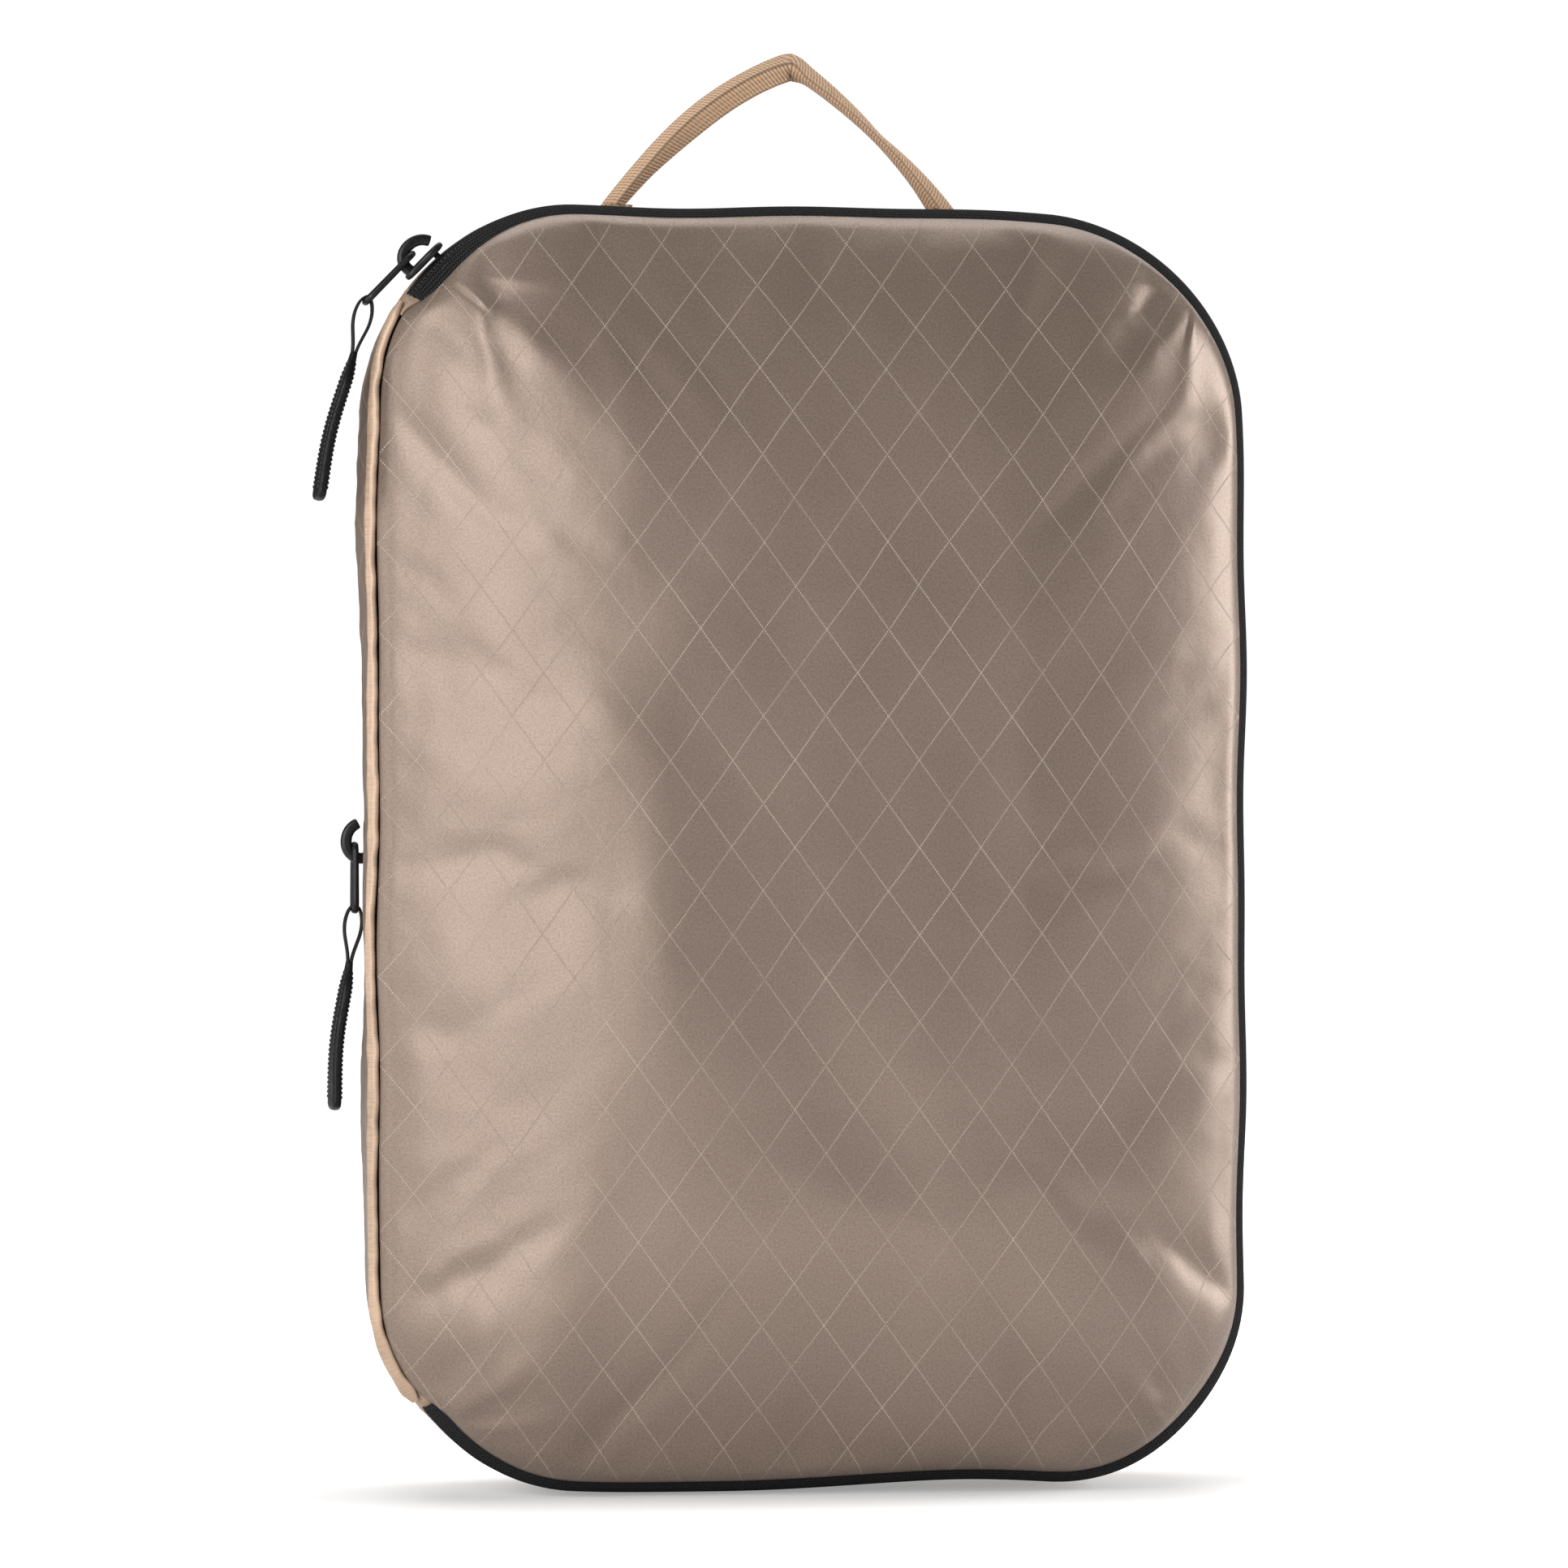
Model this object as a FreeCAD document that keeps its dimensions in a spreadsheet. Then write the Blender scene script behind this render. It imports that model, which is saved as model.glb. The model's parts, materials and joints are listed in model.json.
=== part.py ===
import FreeCAD, Part
import math
import os

import Sketcher

# Medium compression packing cube, standing upright. Millimetres.
# +Z is up, +X is to the right and the front faces -Y. The origin is the middle of the flat base.
# Front to back: domed lid panel, main zip, gusset, compression zip, domed back panel.

SIZES = [
    ("body_width", 248, "outline of the gusset, left to right"),
    ("body_height", 360, "outline of the gusset, floor to top"),
    ("corner_radius", 57, "corners of the outline"),
    ("gusset_half", 14, "half the depth of the gusset, which is centred on the origin"),
    ("band_width", 10, "width of each zip band between its two seams"),
    ("zip_gap", 1.4, "gap between the two tapes of a closed zip"),
    ("cloth", 1.2, "thickness of the panels and the gusset"),
    ("tape", 0.8, "thickness of the zip tapes"),
    ("coil", 1.4, "thickness and width of one row of coil teeth"),
    ("lid_inset", 0.8, "how far the lid stands inside the outline"),
    ("lid_depth", 24, "how far the front panel domes forward of its zip"),
    ("lid_edge_radius", 20, "rounding of the front panel's edge"),
    ("rear_inset", 3.7, "how far the compression zip stands inside the outline"),
    ("back_depth", 18, "how far the back panel domes behind its zip"),
    ("back_edge_radius", 15, "rounding of the back panel's edge"),
    ("sleeve_inset", 7.9, "how far the expansion gusset stands inside the outline"),
    ("sleeve_wall", 1.0, "thickness of the expansion gusset"),
    ("sleeve_length", 40, "depth of the expansion gusset, folded away when compressed"),
    ("binding_width", 2, "width of the seam bindings"),
    ("binding", 1.2, "thickness of the seam bindings"),
    ("joint_gap", 0.3, "clearance of the lid's spine edge from the piping"),
    ("piping_radius", 1.5, "corded piping along the spine"),
    ("piping_proud", 0.6, "how far the piping's centre stands outside the outline"),
    ("upper_end_angle", 31, "end of the main zip above the horizontal, on the upper left corner"),
    ("lower_end_angle", 34, "end of the main zip below the horizontal, on the lower left corner"),
    ("end_tab_length", 6, "end tabs along the zip"),
    ("end_tab_height", 1.0, "end tabs, thickness"),
    ("slider_angle", 44, "main slider above the horizontal, on the upper left corner"),
    ("slider_length", 14, "length of both sliders"),
    ("slider_width", 7.6, "width of both sliders"),
    ("slider_lift", 0.8, "outer plate of a slider above its tape"),
    ("outer_plate", 1.4, "thickness of a slider's outer plate"),
    ("inner_plate", 1.0, "thickness of a slider's inner plate"),
    ("main_reach", 3.9, "inner plate of the main slider below the outline"),
    ("rear_reach", 2.7, "inner plate of the compression slider below its tape"),
    ("post_width", 0.7, "post between the two tapes"),
    ("pivot_along", -1, "crown's centre along the slider"),
    ("pivot_height", 4.9, "crown's centre above the tape"),
    ("crown_outer", 3.9, "outer radius of the crown"),
    ("crown_inner", 2.3, "inner radius of the crown"),
    ("crown_width", 3, "width of the crown"),
    ("crown_slot", 1.2, "open slot in the side of the crown"),
    ("pull_wire", 2, "thickness of the pull's wire"),
    ("pull_length", 18.4, "from the crown's centre to the middle of the pull's far bar"),
    ("pull_width", 10, "outer width of the pull"),
    ("pull_corner", 3, "outer corner radius of the pull"),
    ("strap_loop", 2.3, "outer radius of the strap's loop round the pull"),
    ("strap_hole", 1.3, "inner radius of the strap's loop"),
    ("strap_width", 5.4, "width of the strap's neck"),
    ("strap_neck", 11, "length of the strap's neck"),
    ("tab_length", 57, "from the pull's far bar to the end of the tab"),
    ("tab_width", 11, "width of the tab"),
    ("tab_half", 1.4, "half the thickness of the tab"),
    ("main_tab_slant", 13.4, "main tab, degrees out from vertical"),
    ("rear_tab_slant", 5.7, "compression tab, degrees out from vertical"),
    ("rear_slider_z", 182, "height of the compression slider"),
    ("stitch_length", 2.2, "one stitch"),
    ("stitch_width", 0.5, "one stitch"),
    ("stitch_proud", 0.25, "how far a stitch stands off the tab"),
    ("stitch_pitch", 4, "from one stitch to the next"),
    ("stitch_count", 10, "stitches in one row"),
    ("stitch_row", 4.2, "from the middle of the tab to a row"),
    ("handle_left", -54, "left end of the handle"),
    ("handle_right", 41.2, "right end of the handle"),
    ("handle_end_width", 7, "webbing where it is gathered into its seam"),
    ("handle_y", 8, "middle of the handle, front to back"),
    ("handle_width", 10, "width of the webbing"),
    ("handle_thickness", 1.6, "thickness of the webbing"),
    ("anchor_height", 5.6, "sewn ends of the webbing above the gusset"),
    ("handle_foot", 366.3, "height at which the free webbing starts"),
    ("handle_foot_left", -48.7, "left foot of the free webbing"),
    ("handle_foot_right", 37.4, "right foot of the free webbing"),
    ("handle_knee_x", -20, "where the left leg bends"),
    ("handle_knee_z", 393.4, "where the left leg bends"),
    ("handle_peak_x", -2.4, "crease at the top of the handle"),
    ("handle_peak_z", 401.8, "crease at the top of the handle"),
    ("bartack_height", 1.6, "sewn bars across the handle's ends"),
    ("bartack_proud", 0.5, "how far a bar stands off the webbing"),
    ("rear_end_x", -40, "where the two ends of the compression zip meet, underneath"),
    ("rear_end_length", 12, "cover over the ends of the compression zip"),
]

AXIS_Y = FreeCAD.Vector(0, 1, 0)
PAST = 6  # how far a cutting outline runs past what it cuts

doc = FreeCAD.newDocument("PackingCube")
sheet = doc.addObject("Spreadsheet::Sheet", "Sizes")
for row, (alias, number, note) in enumerate(SIZES, start=1):
    sheet.set(f"A{row}", note)
    sheet.set(f"B{row}", str(number))
    sheet.setAlias(f"B{row}", alias)
doc.recompute()

sub_parts = []


def value(expression):
    """The number that an expression over the sheet's cells gives."""
    return float(sheet.evalExpression(expression))


def cell(alias):
    return value(f"Sizes.{alias}")


def new_body(label):
    body = doc.addObject("PartDesign::Body", label)
    body.Label = label
    sub_parts.append(body)
    return body


def new_sketch(body, role, offset):
    """A sketch on one of the body's own planes, moved along the plane's normal by an expression."""
    plane = next(f for f in body.Origin.OriginFeatures if f.Role == role)
    sketch = body.newObject("Sketcher::SketchObject", body.Label + "_outline")
    sketch.AttachmentSupport = [(plane, "")]
    sketch.MapMode = "FlatFace"
    sketch.setExpression(".AttachmentOffset.Base.z", offset)
    return sketch


def constrain(sketch, kind, *where, size):
    """A driving dimension bound to an expression."""
    index = sketch.addConstraint(Sketcher.Constraint(kind, *where, value(size)))
    sketch.setExpression(f"Constraints[{index}]", size)


def rounded_rectangle(sketch, left, right, low, high, radius):
    """Four lines and four arcs, with the five sizes given as expressions."""
    x0, x1, y0, y1, r = (value(e) for e in (left, right, low, high, radius))
    first = sketch.GeometryCount
    corners = [(x1 - r, y1 - r), (x0 + r, y1 - r), (x0 + r, y0 + r), (x1 - r, y0 + r)]
    ends = [
        ((x1 - r, y1), (x0 + r, y1)),
        ((x0, y1 - r), (x0, y0 + r)),
        ((x0 + r, y0), (x1 - r, y0)),
        ((x1, y0 + r), (x1, y1 - r)),
    ]
    for step in range(4):
        centre = FreeCAD.Vector(*corners[step], 0)
        circle = Part.Circle(centre, FreeCAD.Vector(0, 0, 1), r)
        start = step * math.pi / 2
        sketch.addGeometry(Part.ArcOfCircle(circle, start, start + math.pi / 2))
        a, b = (FreeCAD.Vector(*point, 0) for point in ends[step])
        sketch.addGeometry(Part.LineSegment(a, b))
    for step in range(8):
        following = (step + 1) % 8
        sketch.addConstraint(Sketcher.Constraint("Tangent", first + step, 2, first + following, 1))
    for line in (1, 5):
        sketch.addConstraint(Sketcher.Constraint("Horizontal", first + line))
    for line in (3, 7):
        sketch.addConstraint(Sketcher.Constraint("Vertical", first + line))
    for arc in (2, 4, 6):
        sketch.addConstraint(Sketcher.Constraint("Equal", first, first + arc))
    constrain(sketch, "DistanceX", first + 3, 1, size=left)
    constrain(sketch, "DistanceX", first + 7, 1, size=right)
    constrain(sketch, "DistanceY", first + 5, 1, size=low)
    constrain(sketch, "DistanceY", first + 1, 1, size=high)
    constrain(sketch, "Radius", first, size=radius)


def outline(sketch, inset):
    """The cube's own outline, drawn in by an expression."""
    half = f"(Sizes.body_width / 2 - ({inset}))"
    high = f"Sizes.body_height - ({inset})"
    rounded_rectangle(sketch, f"-{half}", half, inset, high, f"Sizes.corner_radius - ({inset})")


def polygon(sketch, points):
    """A closed outline of straight lines through points given as pairs of expressions."""
    first = sketch.GeometryCount
    places = [FreeCAD.Vector(value(x), value(y), 0) for x, y in points]
    count = len(points)
    for step in range(count):
        sketch.addGeometry(Part.LineSegment(places[step], places[(step + 1) % count]))
    for step in range(count):
        following = first + (step + 1) % count
        sketch.addConstraint(Sketcher.Constraint("Coincident", first + step, 2, following, 1))
    for step, (x, y) in enumerate(points):
        constrain(sketch, "DistanceX", first + step, 1, size=x)
        constrain(sketch, "DistanceY", first + step, 1, size=y)


def box_outline(sketch, left, right, low, high):
    polygon(sketch, [(left, low), (right, low), (right, high), (left, high)])


def circle(sketch, x, y, radius):
    centre = FreeCAD.Vector(value(x), value(y), 0)
    index = sketch.addGeometry(Part.Circle(centre, FreeCAD.Vector(0, 0, 1), value(radius)))
    constrain(sketch, "DistanceX", index, 3, size=x)
    constrain(sketch, "DistanceY", index, 3, size=y)
    constrain(sketch, "Radius", index, size=radius)


def pad(body, sketch, length, midplane=False):
    feature = body.newObject("PartDesign::Pad", body.Label + "_pad")
    feature.Profile = sketch
    feature.Midplane = midplane
    feature.setExpression("Length", length)
    doc.recompute()
    return feature


def pocket(body, sketch, length, reverse=False, midplane=False):
    """Cuts and makes sure that something was cut."""
    before = body.Shape.Volume
    feature = body.newObject("PartDesign::Pocket", body.Label + "_pocket")
    feature.Profile = sketch
    feature.Reversed = reverse
    feature.Midplane = midplane
    feature.setExpression("Length", length)
    doc.recompute()
    if not body.Shape.Volume < before:
        raise RuntimeError(f"the pocket in {body.Label} cuts nothing")
    return feature


def fillet(body, base, keep, radius):
    """Rounds the edges of a feature for which keep(edge) is true."""
    names = [f"Edge{n}" for n, edge in enumerate(base.Shape.Edges, start=1) if keep(edge)]
    feature = body.newObject("PartDesign::Fillet", body.Label + "_fillet")
    feature.Base = (base, names)
    feature.setExpression("Radius", radius)
    doc.recompute()
    return feature


def shell(body, base, open_face, wall):
    """Hollows a feature inwards, leaving open the faces for which open_face(face) is true."""
    names = [f"Face{n}" for n, face in enumerate(base.Shape.Faces, start=1) if open_face(face)]
    feature = body.newObject("PartDesign::Thickness", body.Label + "_shell")
    feature.Base = (base, names)
    feature.Reversed = True
    feature.setExpression("Value", wall)
    doc.recompute()
    return feature


def lies_at_y(y):
    """True for edges and faces in the plane at y."""

    def keep(shape):
        box = shape.BoundBox
        return abs(box.YMin - y) < 1e-4 and abs(box.YMax - y) < 1e-4

    return keep


# Places along the depth of the cube, as expressions.
FRONT_SEAM = "-(Sizes.gusset_half)"
LID_SEAM = "-(Sizes.gusset_half + Sizes.band_width)"
LID_FRONT = "-(Sizes.gusset_half + Sizes.band_width + Sizes.lid_depth)"
MAIN_ZIP = "-(Sizes.gusset_half + Sizes.band_width / 2)"
REAR_SEAM = "Sizes.gusset_half"
REAR_ZIP = "(Sizes.gusset_half + Sizes.band_width / 2)"
BACK_SEAM = "(Sizes.gusset_half + Sizes.band_width)"
HALF_TAPE = "((Sizes.band_width - Sizes.zip_gap) / 2)"
SPINE_REACH = "(Sizes.piping_radius)"


def outline_sketch(body, y, *insets):
    """A sketch in the plane at y, whose normal points forward, with an outline for each inset."""
    sketch = new_sketch(body, "XZ_Plane", f"-({y})")
    for inset in insets:
        outline(sketch, inset)
    return sketch


def ring(label, y, depth, outer, inner):
    """A band that follows the outline, from the plane at y forward."""
    body = new_body(label)
    pad(body, outline_sketch(body, y, outer, inner), depth)
    return body


def open_at_spine(body, y, depth, keep_spine):
    """Cuts a slice of a ring, either along the spine or everywhere except along the spine."""
    left = f"-(Sizes.body_width / 2 + {PAST})"
    right = f"(Sizes.body_width / 2 + {PAST})"
    inner = "-(Sizes.body_width / 2 - Sizes.corner_radius / 2)"
    arc = "Sizes.corner_radius * sin({} * 1 deg)"
    top = f"Sizes.body_height - Sizes.corner_radius + {arc.format('Sizes.upper_end_angle')}"
    low = f"Sizes.corner_radius - {arc.format('Sizes.lower_end_angle')}"
    floor = f"-{PAST}"
    above = f"Sizes.body_height + {PAST}"
    sketch = new_sketch(body, "XZ_Plane", f"-({y})")
    if keep_spine:
        corners = [(left, floor), (right, floor), (right, above), (left, above)]
        corners += [(left, top), (inner, top), (inner, low), (left, low)]
        polygon(sketch, corners)
    else:
        box_outline(sketch, left, inner, low, top)
    pocket(body, sketch, depth, reverse=True)


def gusset():
    body = new_body("gusset")
    spine = f"({HALF_TAPE} + Sizes.zip_gap / 2 - {SPINE_REACH})"
    depth = f"2 * Sizes.gusset_half + {spine}"
    pad(body, outline_sketch(body, REAR_SEAM, "0", "Sizes.cloth"), depth)
    lip = "Sizes.rear_inset + Sizes.tape"
    pad(body, outline_sketch(body, REAR_SEAM, "Sizes.cloth / 2", lip), "Sizes.cloth")
    open_at_spine(body, FRONT_SEAM, spine, keep_spine=True)


def front_panel():
    body = new_body("front_panel")
    spine = f"({HALF_TAPE} + Sizes.zip_gap / 2 - {SPINE_REACH} - Sizes.joint_gap)"
    start = f"{LID_SEAM} + {spine}"
    depth = f"Sizes.lid_depth + {spine}"
    block = pad(body, outline_sketch(body, start, "Sizes.lid_inset"), depth)
    dome = fillet(body, block, lies_at_y(value(LID_FRONT)), "Sizes.lid_edge_radius")
    shell(body, dome, lies_at_y(value(start)), "Sizes.cloth")
    open_at_spine(body, start, spine, keep_spine=True)


def back_panel():
    body = new_body("back_panel")
    rear = f"{BACK_SEAM} + Sizes.back_depth"
    block = pad(body, outline_sketch(body, rear, "Sizes.rear_inset"), "Sizes.back_depth")
    dome = fillet(body, block, lies_at_y(value(rear)), "Sizes.back_edge_radius")
    shell(body, dome, lies_at_y(value(BACK_SEAM)), "Sizes.cloth")


def zip_half(prefix, tape_y, coil_y, inset, open_spine):
    """One tape of a zip, and its row of coil teeth on the inside of the tape."""
    tape_inner = f"{inset} + Sizes.tape"
    tape = ring(prefix + "_tape", tape_y, HALF_TAPE, inset, tape_inner)
    coil = ring(prefix + "_coil", coil_y, "Sizes.coil", tape_inner, f"{tape_inner} + Sizes.coil")
    if open_spine:
        open_at_spine(tape, tape_y, HALF_TAPE, keep_spine=False)
        open_at_spine(coil, coil_y, "Sizes.coil", keep_spine=False)


def zips():
    half_gap = "Sizes.zip_gap / 2"
    body_edge = f"{MAIN_ZIP} + {half_gap} + Sizes.coil"
    zip_half("main_zip_body", FRONT_SEAM, body_edge, "0", open_spine=True)
    lid_edge = f"{MAIN_ZIP} - {half_gap}"
    zip_half("main_zip_lid", lid_edge, lid_edge, "Sizes.lid_inset", open_spine=True)
    front_edge = f"{REAR_ZIP} - {half_gap}"
    zip_half("compression_zip_front", front_edge, front_edge, "Sizes.rear_inset", open_spine=False)
    rear_coil = f"{REAR_ZIP} + {half_gap} + Sizes.coil"
    zip_half("compression_zip_rear", BACK_SEAM, rear_coil, "Sizes.rear_inset", open_spine=False)


def linings():
    """The folded expansion gusset and the bindings over the seams inside."""
    sleeve_inner = "Sizes.sleeve_inset + Sizes.sleeve_wall"
    ring("expansion_gusset", BACK_SEAM, "Sizes.sleeve_length", "Sizes.sleeve_inset", sleeve_inner)
    wide = "Sizes.binding_width"
    lid_wall = "Sizes.lid_inset + Sizes.cloth"
    ring("lid_seam_binding", LID_SEAM, wide, lid_wall, f"{lid_wall} + Sizes.binding")
    front = f"{FRONT_SEAM} + Sizes.binding_width"
    ring("gusset_front_binding", front, wide, "Sizes.cloth", "Sizes.cloth + Sizes.binding")
    rear = f"{REAR_SEAM} - Sizes.cloth"
    ring("gusset_rear_binding", rear, wide, "Sizes.cloth", "Sizes.cloth + Sizes.binding")
    back = f"{BACK_SEAM} + Sizes.binding_width"
    ring("back_seam_binding", back, wide, "Sizes.rear_inset + Sizes.cloth", sleeve_inner)


def corner_centre(upper):
    """Centre of the left corner's arc, above or below."""
    x = -(cell("body_width") / 2 - cell("corner_radius"))
    z = cell("body_height") - cell("corner_radius") if upper else cell("corner_radius")
    return FreeCAD.Vector(x, 0, z)


def on_corner(upper, degrees, radius, y):
    """A point on the left corner's arc, at an angle above (or below) the horizontal."""
    turn = math.radians(degrees)
    side = 1 if upper else -1
    step = FreeCAD.Vector(-radius * math.cos(turn), y, side * radius * math.sin(turn))
    return corner_centre(upper) + step


def torus_piece(label, upper, start):
    """A stretch of the piping round one corner, from an angle measured from +X towards +Z."""
    piece = doc.addObject("Part::Torus", label)
    piece.setExpression("Radius1", "Sizes.corner_radius + Sizes.piping_proud")
    piece.setExpression("Radius2", "Sizes.piping_radius")
    piece.setExpression("Angle3", "Sizes.upper_end_angle" if upper else "Sizes.lower_end_angle")
    upright = FreeCAD.Rotation(FreeCAD.Vector(1, 0, 0), 90)
    turned = FreeCAD.Rotation(FreeCAD.Vector(0, 0, 1), start)
    centre = corner_centre(upper) + FreeCAD.Vector(0, value(MAIN_ZIP), 0)
    piece.Placement = FreeCAD.Placement(centre, upright * turned)
    return piece


def spine_piping():
    """Corded piping over the fold that the lid hangs on."""
    straight = doc.addObject("Part::Cylinder", "piping_straight")
    straight.setExpression("Radius", "Sizes.piping_radius")
    straight.setExpression("Height", "Sizes.body_height - 2 * Sizes.corner_radius")
    foot = FreeCAD.Vector(-cell("body_width") / 2 - cell("piping_proud"), value(MAIN_ZIP))
    straight.Placement.Base = foot + FreeCAD.Vector(0, 0, cell("corner_radius"))
    upper = torus_piece("piping_upper", True, 180 - cell("upper_end_angle"))
    lower = torus_piece("piping_lower", False, 180)
    piping = doc.addObject("Part::MultiFuse", "spine_piping")
    piping.Label = "spine_piping"
    piping.Shapes = [straight, upper, lower]
    sub_parts.append(piping)


def plate(label, length, width, height):
    """A rectangular piece, with its three sizes given as expressions."""
    piece = doc.addObject("Part::Box", label)
    piece.setExpression("Length", length)
    piece.setExpression("Width", width)
    piece.setExpression("Height", height)
    return piece


def end_tab(label, upper):
    """A folded tab over the end of the body's tape, lying along the corner."""
    tab = plate(label, "Sizes.end_tab_length", HALF_TAPE, "Sizes.end_tab_height")
    tab.Label = label
    sub_parts.append(tab)
    half_turn = math.degrees(cell("end_tab_length") / 2 / cell("corner_radius"))
    angle = cell("upper_end_angle" if upper else "lower_end_angle") + half_turn
    turn = FreeCAD.Rotation(AXIS_Y, angle - 90 if upper else -90 - angle)
    middle = on_corner(upper, angle, cell("corner_radius"), 0)
    along = turn.multVec(FreeCAD.Vector(cell("end_tab_length") / 2, 0, 0))
    start = FreeCAD.Vector(0, value(f"{FRONT_SEAM} - {HALF_TAPE}"), 0)
    tab.Placement = FreeCAD.Placement(middle - along + start, turn)


def rear_end_cover():
    """The cover under the two ends of the compression zip."""
    cover = plate(
        "compression_end_tab", "Sizes.rear_end_length", HALF_TAPE, "Sizes.end_tab_height"
    )
    cover.Label = "compression_end_tab"
    sub_parts.append(cover)
    low = cell("rear_inset") - cell("end_tab_height")
    cover.Placement.Base = FreeCAD.Vector(cell("rear_end_x"), cell("gusset_half"), low)


def slider(label, reach, place):
    """A slider in its own frame: X along the zip, Z outward, with the tape's face at Z = 0."""
    body = new_body(label)
    front = "Sizes.slider_length / 2"
    rear = "-Sizes.slider_length / 2"
    top = "Sizes.slider_lift + Sizes.outer_plate"
    sketch = new_sketch(body, "XZ_Plane", "0")
    box_outline(sketch, rear, front, "Sizes.slider_lift", top)
    pad(body, sketch, "Sizes.slider_width", midplane=True)
    sketch = new_sketch(body, "XZ_Plane", "0")
    box_outline(sketch, "Sizes.slider_length / 5", "Sizes.slider_length / 3", f"-{reach}", top)
    pad(body, sketch, "Sizes.post_width", midplane=True)
    sketch = new_sketch(body, "XZ_Plane", "0")
    box_outline(sketch, rear, front, f"-{reach} - Sizes.inner_plate", f"-{reach}")
    pad(body, sketch, "Sizes.slider_width", midplane=True)
    sketch = new_sketch(body, "XZ_Plane", "0")
    circle(sketch, "Sizes.pivot_along", "Sizes.pivot_height", "Sizes.crown_outer")
    pad(body, sketch, "Sizes.crown_width", midplane=True)
    sketch = new_sketch(body, "XZ_Plane", "0")
    circle(sketch, "Sizes.pivot_along", "Sizes.pivot_height", "Sizes.crown_inner")
    pocket(body, sketch, "Sizes.crown_width", midplane=True)
    sketch = new_sketch(body, "XZ_Plane", "0")
    edge = "Sizes.pivot_along + Sizes.crown_outer"
    low = "Sizes.pivot_height + Sizes.crown_slot / 2"
    box_outline(sketch, "Sizes.pivot_along + 0.1", edge, low, f"{low} + Sizes.crown_slot")
    pocket(body, sketch, "Sizes.crown_width", midplane=True)
    body.Placement = place


def pull(label, place):
    """A wire frame in its own frame: X from the far bar to the crown, with the crown at the origin."""
    body = new_body(label)
    half = "Sizes.pull_wire / 2"
    side = "Sizes.pull_width / 2"
    sketch = new_sketch(body, "XY_Plane", "0")
    far = f"-(Sizes.pull_length + {half})"
    rounded_rectangle(sketch, far, half, f"-{side}", side, "Sizes.pull_corner")
    near = f"-({half})"
    inner = f"(-(Sizes.pull_length - {half}))"
    bar = f"({side} - Sizes.pull_wire)"
    radius = "Sizes.pull_corner - Sizes.pull_wire"
    rounded_rectangle(sketch, inner, near, f"-{bar}", bar, radius)
    frame = pad(body, sketch, "Sizes.pull_wire", midplane=True)
    level = cell("pull_wire") / 2

    def rim(edge):
        box = edge.BoundBox
        return abs(box.ZMax - box.ZMin) < 1e-4 and abs(abs(box.ZMax) - level) < 1e-4

    fillet(body, frame, rim, "Sizes.pull_wire * 0.3")
    body.Placement = place


def strap(label, place):
    """A folded strap in its own frame: hanging along -Z from the pull's bar at the origin."""
    body = new_body(label)
    thick = "Sizes.tab_half"
    sketch = new_sketch(body, "XZ_Plane", "0")
    circle(sketch, "0", "0", "Sizes.strap_loop")
    pad(body, sketch, "Sizes.strap_width", midplane=True)
    sketch = new_sketch(body, "XZ_Plane", "0")
    box_outline(sketch, f"-{thick}", thick, "-Sizes.strap_neck", "-Sizes.strap_hole")
    pad(body, sketch, "Sizes.strap_width", midplane=True)
    sketch = new_sketch(body, "XZ_Plane", "0")
    box_outline(sketch, f"-{thick}", thick, "-Sizes.tab_length", "-Sizes.strap_neck")
    pad(body, sketch, "Sizes.tab_width", midplane=True)
    sketch = new_sketch(body, "XZ_Plane", "0")
    circle(sketch, "0", "0", "Sizes.strap_hole")
    pocket(body, sketch, "Sizes.strap_width", midplane=True)
    body.Placement = place


def strap_stitches(label, place):
    """Two rows of stitches down each face of the tab."""
    stitches = []
    start = -(cell("strap_neck") + cell("stitch_pitch"))
    for face in (1, -1):
        for row in (1, -1):
            for step in range(int(cell("stitch_count"))):
                name = f"{label}_{len(stitches)}"
                one = plate(name, "Sizes.stitch_proud", "Sizes.stitch_width", "Sizes.stitch_length")
                x = cell("tab_half") if face == 1 else -cell("tab_half") - cell("stitch_proud")
                y = row * cell("stitch_row") - cell("stitch_width") / 2
                one.Placement.Base = FreeCAD.Vector(x, y, start - step * cell("stitch_pitch"))
                stitches.append(one)
    group = doc.addObject("Part::Compound", label)
    group.Label = label
    group.Links = stitches
    group.Placement = place
    sub_parts.append(group)


def slider_set(prefix, reach, centre, lean, slant):
    """A slider, its pull and its strap. lean turns the slider's frame about Y, slant hangs the strap."""
    turn = FreeCAD.Rotation(AXIS_Y, lean)
    slider(prefix + "_slider", reach, FreeCAD.Placement(centre, turn))
    crown = FreeCAD.Vector(cell("pivot_along"), 0, cell("pivot_height"))
    pivot = centre + turn.multVec(crown)
    pull(prefix + "_pull", FreeCAD.Placement(pivot, turn))
    bar = pivot + turn.multVec(FreeCAD.Vector(-cell("pull_length"), 0, 0))
    hang = FreeCAD.Placement(bar, FreeCAD.Rotation(AXIS_Y, slant))
    strap(prefix + "_tab", hang)
    strap_stitches(prefix + "_tab_stitches", hang)
    print(f"{prefix}: slider {tuple(centre)}, pull turns at {tuple(pivot)}, tab at {tuple(bar)}")


def sliders():
    angle = cell("slider_angle")
    centre = on_corner(True, angle, cell("corner_radius"), value(MAIN_ZIP))
    slider_set("main", "Sizes.main_reach", centre, angle - 90, cell("main_tab_slant"))
    left = -(cell("body_width") / 2 - cell("rear_inset"))
    centre = FreeCAD.Vector(left, value(REAR_ZIP), cell("rear_slider_z"))
    slider_set("compression", "Sizes.rear_reach", centre, -90, cell("rear_tab_slant"))


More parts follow.
